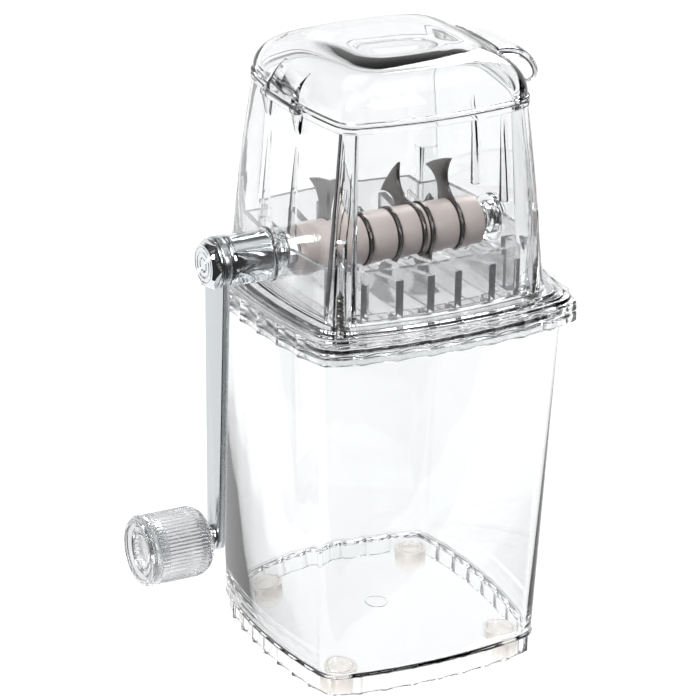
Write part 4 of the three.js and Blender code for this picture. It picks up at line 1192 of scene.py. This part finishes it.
def make_sleeve():
    start, end = node_span("crank_sleeve")
    sleeve = turned("chromed_sleeve", [
        (start, SHAFT_BORE, 0.2), (start, SLEEVE_RADIUS, 0.9), (start + 2.6, SLEEVE_RADIUS, 0.1),
        (start + 2.6, SLEEVE_RADIUS - 0.35, 0.1), (end - 0.8, SLEEVE_RADIUS - 0.35, 0.4),
        (end, SLEEVE_RADIUS - 1.2, 0.4), (end, SHAFT_BORE, 0.2)], ON_SHAFT, segments=128)
    finished(sleeve, "crank", chrome_plate, ["crank_sleeve"])


def make_washer():
    start, end = node_span("crank_washer")
    washer = turned("chromed_washer", [
        (start, SHAFT_BORE, 0.1), (start, WASHER_RADIUS, 0.3), (end, WASHER_RADIUS, 0.3),
        (end, SHAFT_BORE, 0.1)], ON_SHAFT, segments=96)
    finished(washer, "crank", chrome_plate, ["crank_washer"])


def arc(radius, start, end, steps, centre_z):
    return [(radius * math.cos(a), centre_z + radius * math.sin(a))
            for a in (start + (end - start) * k / steps for k in range(steps + 1))]


def make_arm():
    start, end = node_span("crank_arm")
    join = math.acos(ARM_TOP_HALF / SLEEVE_RADIUS)
    edge = arc(ARM_END_RADIUS, math.pi, 2 * math.pi, 24, KNOB_Z)
    edge += arc(SLEEVE_RADIUS, -join, math.pi + join, 48, SHAFT_Z)
    last = HOLE_STEPS - 1  # one step short of a full turn, because the outline closes itself
    spindle_hole = arc(SPINDLE_HOLE, 0, 2 * math.pi * last / HOLE_STEPS, last, KNOB_Z)
    shaft_hole = arc(SHAFT_BORE, 0, 2 * math.pi * last / HOLE_STEPS, last, SHAFT_Z)
    arm = plate("brushed_crank_arm", [edge, spindle_hole, shaft_hole], start, end, 0.45)
    finished(arm, "crank", brushed_plate, ["crank_arm"], 40)


make_sleeve()
make_washer()
make_arm()


# %% Cap nut
NUT_RADIUS = 10.4
NUT_FLATS = 17.6


def make_nut():
    start, end = node_span("crank_nut")
    face, rings = start + 0.05, [(2.2, 3.0), (4.6, 5.4), (6.6, 7.2)]
    profile = [(face, 0, 0), (face, rings[0][0], 0.15)]
    for inner, outer in rings:
        profile += [(face + 0.6, inner + 0.15, 0.15), (face + 0.6, outer - 0.15, 0.15), (face, outer, 0.15)]
        following = [r[0] for r in rings if r[0] > outer]
        if following:
            profile.append((face, following[0], 0.15))
    profile += [(face, 7.9, 0.3), (face + 0.9, 8.6, 0.1), (face + 3.2, NUT_RADIUS, 0.2),
                (end, NUT_RADIUS, 0), (end, 0, 0)]
    turned_blank = turned("cap_nut", profile, ON_SHAFT, segments=96)
    flats = plate("nut_flats", [on_shaft(hexagon(NUT_FLATS))], start - 1, end + 1, 0.3)
    cap = turned("nut_cap", [(face - 0.01, 0, 0), (face - 0.01, 8.2, 0.2), (face + 1.5, 8.2, 0.1),
                             (face + 1.5, 0, 0)], ON_SHAFT, segments=96)
    combined(flats, [cap], "UNION")
    combined(turned_blank, [flats], "INTERSECT")
    bore = rod("bore", (face + 2, 0, SHAFT_Z), (end + 1, 0, SHAFT_Z), SHAFT_BORE)
    combined(turned_blank, [bore], "DIFFERENCE")
    finished(turned_blank, "crank", chrome_plate, ["crank_nut"], 25)


make_nut()

# %% [markdown]
# ## The knob
# A clear turned grip with fifty-four fine flutes, a bead near its outer end, and a recessed cap over the
# spindle's head. The steel spindle runs down the middle. The flute tree is used again with other numbers:
# this time the value "around" runs once round a circle.

# %% Knob, cap and spindle
KNOB_FLUTES = 54
KNOB_FLUTE_DEPTH = 0.6
KNOB_RADIUS = 13.1
KNOB_BEAD_RADIUS = 14.0
KNOB_BORE = 3.7
CAP_RECESS = 8.9
knob_start, knob_end = node_span("knob")
ON_KNOB = (0, 0, KNOB_Z)


def make_knob():
    inner, outer = knob_end, knob_start
    shelf = outer + CAP_RECESS
    grip = turned("fluted_knob", [
        (inner, KNOB_BORE, 0.2), (inner, 5.2, 0.3), (inner - 1.2, 8.6, 0.8), (inner - 3.6, 11.6, 1.2),
        (inner - 7, KNOB_RADIUS, 1.2), (outer + 5.2, KNOB_RADIUS, 0.2), (outer + 4.4, 12.9, 0.3),
        (outer + 3.9, KNOB_BEAD_RADIUS, 0.6), (outer + 1.6, KNOB_BEAD_RADIUS, 0.6), (outer + 1.1, 12.9, 0.3),
        (outer + 0.6, KNOB_RADIUS, 0.3), (outer, 12.6, 0.4), (outer, 11.2, 0.3), (shelf, 10.7, 0.3),
        (shelf, KNOB_BORE, 0.2)], ON_KNOB, "X", KNOB_FLUTES * POINTS_PER_RIB,
        (outer + 4.6, inner - 3, 10.8))
    fluted(grip, clear_grip, KNOB_FLUTES, KNOB_FLUTE_DEPTH)
    finished(grip, "knob", clear_grip, ["knob"], 50)


def make_cap():
    start, end = node_span("knob_end_cap")
    cap = turned("knob_cap", [(start, 0, 0), (start, 6.6, 0.4), (start + 0.6, 7.2, 0.3), (start, 7.8, 0.3),
                              (start, 9.4, 0.4), (start + 0.8, 10.4, 0.2), (end, 10.3, 0.3), (end, 0, 0)],
                 ON_KNOB, segments=96)
    finished(cap, "knob", clear_moulding, ["knob_end_cap"])


def make_spindle():
    low, high = node_span("knob_spindle")
    arm_face = node_span("crank_arm")[0]
    collar, collar_end, head = arm_face - 0.3, arm_face - 1.5, low + 2
    spindle = turned("knob_pin", [
        (high, 0, 0), (high, 2.6, 0.3), (collar, 2.6, 0), (collar, 4.8, 0.3), (collar_end, 4.8, 0.3),
        (collar_end, 3.4, 0.1), (head, 3.4, 0.1), (head, 5.6, 0.4), (low, 5.6, 0.8), (low, 0, 0)], ON_KNOB)
    finished(spindle, "crank", drawn_steel, ["knob_spindle"])


make_knob()
make_cap()
make_spindle()

# %% [markdown]
# ## Screws and hinge pin
# Four screws come up through the base plate into the corner posts, and their threads show through the
# plastic. A Geometry Nodes tree makes one: a spiral swept by a small triangle for the thread, on a shank
# with a head. It stands the screw on each of the four points that it is given, so that all come from one
# rule.


# %% Screw tree
def screw_tree():
    tree = bpy.data.node_groups.new("screws", "GeometryNodeTree")
    tree.interface.new_socket("Geometry", in_out="INPUT", socket_type="NodeSocketGeometry")
    for name in ("Length", "Shank Radius", "Head Radius", "Head Height", "Pitch", "Thread Depth"):
        tree.interface.new_socket(name, in_out="INPUT", socket_type="NodeSocketFloat")
    tree.interface.new_socket("Material", in_out="INPUT", socket_type="NodeSocketMaterial")
    tree.interface.new_socket("Geometry", in_out="OUTPUT", socket_type="NodeSocketGeometry")
    given = add(tree, "NodeGroupInput").outputs

    def sum_of(a, b, operation="ADD"):
        return add(tree, "ShaderNodeMath", {"operation": operation}, {0: a, 1: b}).outputs[0]

    def upright(geometry, z):
        place = add(tree, "ShaderNodeCombineXYZ", inputs={"Z": z}).outputs[0]
        return add(tree, "GeometryNodeTransform", inputs={
            "Geometry": geometry, "Translation": place}).outputs[0]

    def bar(radius, height, z, tip=None):
        cone = add(tree, "GeometryNodeMeshCone", {"fill_type": "NGON"}, {
            "Vertices": 32, "Radius Top": radius if tip is None else tip, "Radius Bottom": radius,
            "Depth": height})
        return upright(cone.outputs["Mesh"], z)

    tip_length = sum_of(given["Shank Radius"], 1.6, "MULTIPLY")
    thread_length = sum_of(given["Length"], tip_length, "SUBTRACT")
    turns = sum_of(thread_length, given["Pitch"], "DIVIDE")
    spiral = add(tree, "GeometryNodeCurveSpiral", inputs={
        "Resolution": 24, "Rotations": turns, "Start Radius": given["Shank Radius"],
        "End Radius": given["Shank Radius"], "Height": thread_length})
    section = add(tree, "GeometryNodeCurvePrimitiveCircle", inputs={
        "Resolution": 4, "Radius": given["Thread Depth"]})
    thread = add(tree, "GeometryNodeCurveToMesh", inputs={
        "Curve": spiral.outputs[0], "Profile Curve": section.outputs["Curve"], "Fill Caps": True})
    thread_up = upright(thread.outputs[0], given["Head Height"])
    shank = bar(given["Shank Radius"], thread_length, given["Head Height"])
    point = bar(given["Shank Radius"], tip_length, sum_of(thread_length, given["Head Height"]), 0.0002)
    head = bar(given["Head Radius"], given["Head Height"], 0.0)
    joined = add(tree, "GeometryNodeJoinGeometry")
    for part in (thread_up, shank, point, head):
        tree.links.new(part, joined.inputs[0])
    placed = add(tree, "GeometryNodeInstanceOnPoints", inputs={
        "Points": given["Geometry"], "Instance": joined.outputs[0]})
    real = add(tree, "GeometryNodeRealizeInstances", inputs={0: placed.outputs[0]})
    painted = add(tree, "GeometryNodeSetMaterial", inputs={
        "Geometry": real.outputs[0], "Material": given["Material"]})
    add(tree, "NodeGroupOutput", inputs={"Geometry": painted.outputs[0]})
    return tree


# %% Screws and pin
PIN_RADIUS = 1.1


def make_screws():
    low, high = box_mm("screw_front_left")
    places = make_piece("post_screws", [(x, y, low.z) for x, y in at_corners(POST_SPACING)], [])
    head_height = 2.2
    grown(places, screw_tree(), {
        "Length": (high.z - low.z - head_height) * MM, "Shank Radius": 1.3 * MM, "Head Radius": 3.6 * MM,
        "Head Height": head_height * MM, "Pitch": 1.5 * MM, "Thread Depth": 0.55 * MM,
        "Material": zinc_steel})
    finished(places, "head", zinc_steel, [f"screw_{corner}" for corner in CORNER_NAMES])


def make_pin():
    reach = (pin_high.y - pin_low.y) / 2
    pin = turned("hinge_wire", [
        (-reach, 0, 0), (-reach, PIN_RADIUS, 0.3), (reach, PIN_RADIUS, 0.3), (reach, 0, 0)],
        (HINGE_X, 0, HINGE_Z), "Y", 32)
    finished(pin, "head", drawn_steel, ["lid_hinge_pin"])


make_screws()
make_pin()

# %% [markdown]
# ## Studio
# Clear plastic has almost no colour of its own, so it is drawn by what stands around it. The paper glows
# white, and so does the backdrop behind it. The camera's side, the sides and most of what is higher up are
# dark, apart from one bright strip and parts of a ceiling, and the paper ends just in front of the object:
# those are what the edges, posts and rims pick up as their dark lines. It is all in the world's shader, by
# direction, and three soft lamps add the highlights. The camera sees plain white behind the object. This
# room suits the one view that it was arranged for: from other sides the plastic looks darker.

# %% Floor and world
VIEW_AZIMUTH = 61.7  # degrees from +X, the way the camera looks
DARK_ROOM = 0.035
SHEET_FRONT = 0.1    # metres of paper in front of the object
SHEET_REACH = 4      # metres of paper behind it
SHEET_SIDE = 2       # metres of paper to each side
PAPER_GLOW = 0.97
PAPER_SHADE = 0.16


def make_floor():
    away = Vector((math.cos(math.radians(VIEW_AZIMUTH)), math.sin(math.radians(VIEW_AZIMUTH)), 0))
    side = Vector((-away.y, away.x, 0))
    corners = [away * ahead + side * across for ahead, across in (
        (-SHEET_FRONT, -SHEET_SIDE), (SHEET_REACH, -SHEET_SIDE), (SHEET_REACH, SHEET_SIDE),
        (-SHEET_FRONT, SHEET_SIDE))]
    mesh = bpy.data.meshes.new("floor")
    mesh.from_pydata(corners, [], [(3, 2, 1, 0)])
    floor = bpy.data.objects.new("floor", mesh)
    bpy.context.scene.collection.objects.link(floor)
    material, tree, output, _ = new_material("pale_studio_floor")
    paper = add(tree, "ShaderNodeBsdfDiffuse", inputs={
        "Color": (PAPER_SHADE, PAPER_SHADE, PAPER_SHADE + 0.005, 1)})
    glow = add(tree, "ShaderNodeEmission", inputs={"Color": (1, 1, 1, 1), "Strength": PAPER_GLOW})
    both = add(tree, "ShaderNodeAddShader", inputs={0: paper.outputs[0], 1: glow.outputs[0]})
    tree.links.new(both.outputs[0], output.inputs["Surface"])
    floor.data.materials.append(material)
    floor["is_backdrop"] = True


def levels(tree, angle, stops):
    """Grey levels at angles in degrees, with straight changes between them."""
    span = add(tree, "ShaderNodeMapRange", inputs={0: angle, 1: -math.pi, 2: math.pi})
    node = add(tree, "ShaderNodeValToRGB", inputs={"Fac": span.outputs[0]})
    while len(node.color_ramp.elements) < len(stops):
        node.color_ramp.elements.new(0.5)
    for element, (degrees, level) in zip(node.color_ramp.elements, stops):
        element.position = 0.5 + degrees / 360
        element.color = (level, level, level, 1)
    return node.outputs["Color"]


def make_world():
    world = bpy.data.worlds.new("studio")
    bpy.context.scene.world = world
    world.use_nodes = True
    tree = world.node_tree
    tree.nodes.clear()
    output = add(tree, "ShaderNodeOutputWorld")

    def math_of(a, b=0.0, operation="MULTIPLY"):
        return add(tree, "ShaderNodeMath", {"operation": operation}, {0: a, 1: b}).outputs[0]

    direction = add(tree, "ShaderNodeTexCoord").outputs["Generated"]
    facing = add(tree, "ShaderNodeVectorRotate", {"rotation_type": "Z_AXIS"}, {
        "Vector": direction, "Angle": -math.radians(VIEW_AZIMUTH)})
    parts = add(tree, "ShaderNodeSeparateXYZ", inputs={0: facing.outputs[0]}).outputs
    height = math_of(parts["Z"], operation="ARCSINE")
    turn = math_of(parts["Y"], parts["X"], "ARCTAN2")
    sweep = levels(tree, height, [(-10, 1), (23, 1), (32, 0.3), (50, 0.08)])
    backdrop = levels(tree, turn, [
        (-180, 0), (-62, 0), (-50, 1), (50, 1), (62, 0), (80, 0), (90, 0.9), (110, 0.9), (118, 0)])
    ceiling = levels(tree, height, [(44, 0), (50, 1), (72, 1), (80, 0.25)])
    overhead = levels(tree, turn, [
        (-180, 0.9), (-60, 0.9), (-40, 0.1), (-10, 0.1), (5, 1), (60, 1), (75, 0.1), (110, 0.1), (125, 1)])
    lit = math_of(math_of(sweep, backdrop), math_of(ceiling, overhead), "MAXIMUM")
    level = math_of(lit, DARK_ROOM, "MAXIMUM")
    studio = add(tree, "ShaderNodeBackground", inputs={"Color": level, "Strength": 1.0})
    plain = add(tree, "ShaderNodeBackground", inputs={"Color": (1, 1, 1, 1), "Strength": 1.0})
    path = add(tree, "ShaderNodeLightPath")
    seen = add(tree, "ShaderNodeMixShader", inputs={
        0: path.outputs["Is Camera Ray"], 1: studio.outputs[0], 2: plain.outputs[0]})
    tree.links.new(seen.outputs[0], output.inputs["Surface"])


make_floor()
make_world()
print("floor and world made")

# %% Lamps
LAMP_AIM_HEIGHT = 0.13  # metres


def lamp(name, position, size, power):
    """A square soft lamp that faces the middle of the object. The camera doesn't see it."""
    light = bpy.data.lights.new(name, "AREA")
    light.shape = "RECTANGLE"
    light.size, light.size_y = size
    light.energy = power
    holder = bpy.data.objects.new(name, light)
    bpy.context.scene.collection.objects.link(holder)
    holder.location = position
    aim = Vector((AXIS_X * MM, 0, LAMP_AIM_HEIGHT)) - holder.location
    holder.rotation_euler = aim.to_track_quat("-Z", "Y").to_euler()
    holder.visible_camera = False


lamp("key_softbox", (-0.9, -0.5, 1.1), (0.5, 0.7), 20)
lamp("front_softbox", (0.35, -1.2, 0.8), (0.35, 0.5), 3)
lamp("rim_softbox", (0.8, 0.7, 0.9), (0.4, 0.6), 8)

# %% [markdown]
# ## Camera and light paths
# A long lens keeps the verticals calm. Light crosses many clear walls on its way through the head, so it is
# allowed enough bounces to come out on the far side, or the plastic would turn black. White stays white
# with the standard view.

# %% Camera
CAMERA_PLACE = Vector((-0.6207, -1.1657, 0.6754))
CAMERA_TARGET = Vector((0.0102, 0.0061, 0.1233))
CAMERA_ROLL = 1.07  # degrees
CAMERA_LENS = 190
WALL_BOUNCES = 32
MIRROR_BOUNCES = 6


def make_camera():
    data = bpy.data.cameras.new("camera")
    data.lens = CAMERA_LENS
    camera = bpy.data.objects.new("camera", data)
    bpy.context.scene.collection.objects.link(camera)
    aim = (CAMERA_TARGET - CAMERA_PLACE).to_track_quat("-Z", "Y").to_matrix().to_4x4()
    roll = Matrix.Rotation(math.radians(CAMERA_ROLL), 4, "Z")
    camera.matrix_world = Matrix.Translation(CAMERA_PLACE) @ aim @ roll
    bpy.context.scene.camera = camera


make_camera()
scene = bpy.context.scene
scene.view_settings.view_transform = "Standard"
scene.cycles.max_bounces = WALL_BOUNCES
scene.cycles.transmission_bounces = WALL_BOUNCES
scene.cycles.transparent_max_bounces = WALL_BOUNCES
scene.cycles.glossy_bounces = MIRROR_BOUNCES
print("camera", [round(x, 3) for x in CAMERA_PLACE])

# %% [markdown]
# ## Sizes
# The box that the finished object fills is printed, in millimetres.

low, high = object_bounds()
print("visual box in mm:", [round(x / MM, 1) for x in high - low])
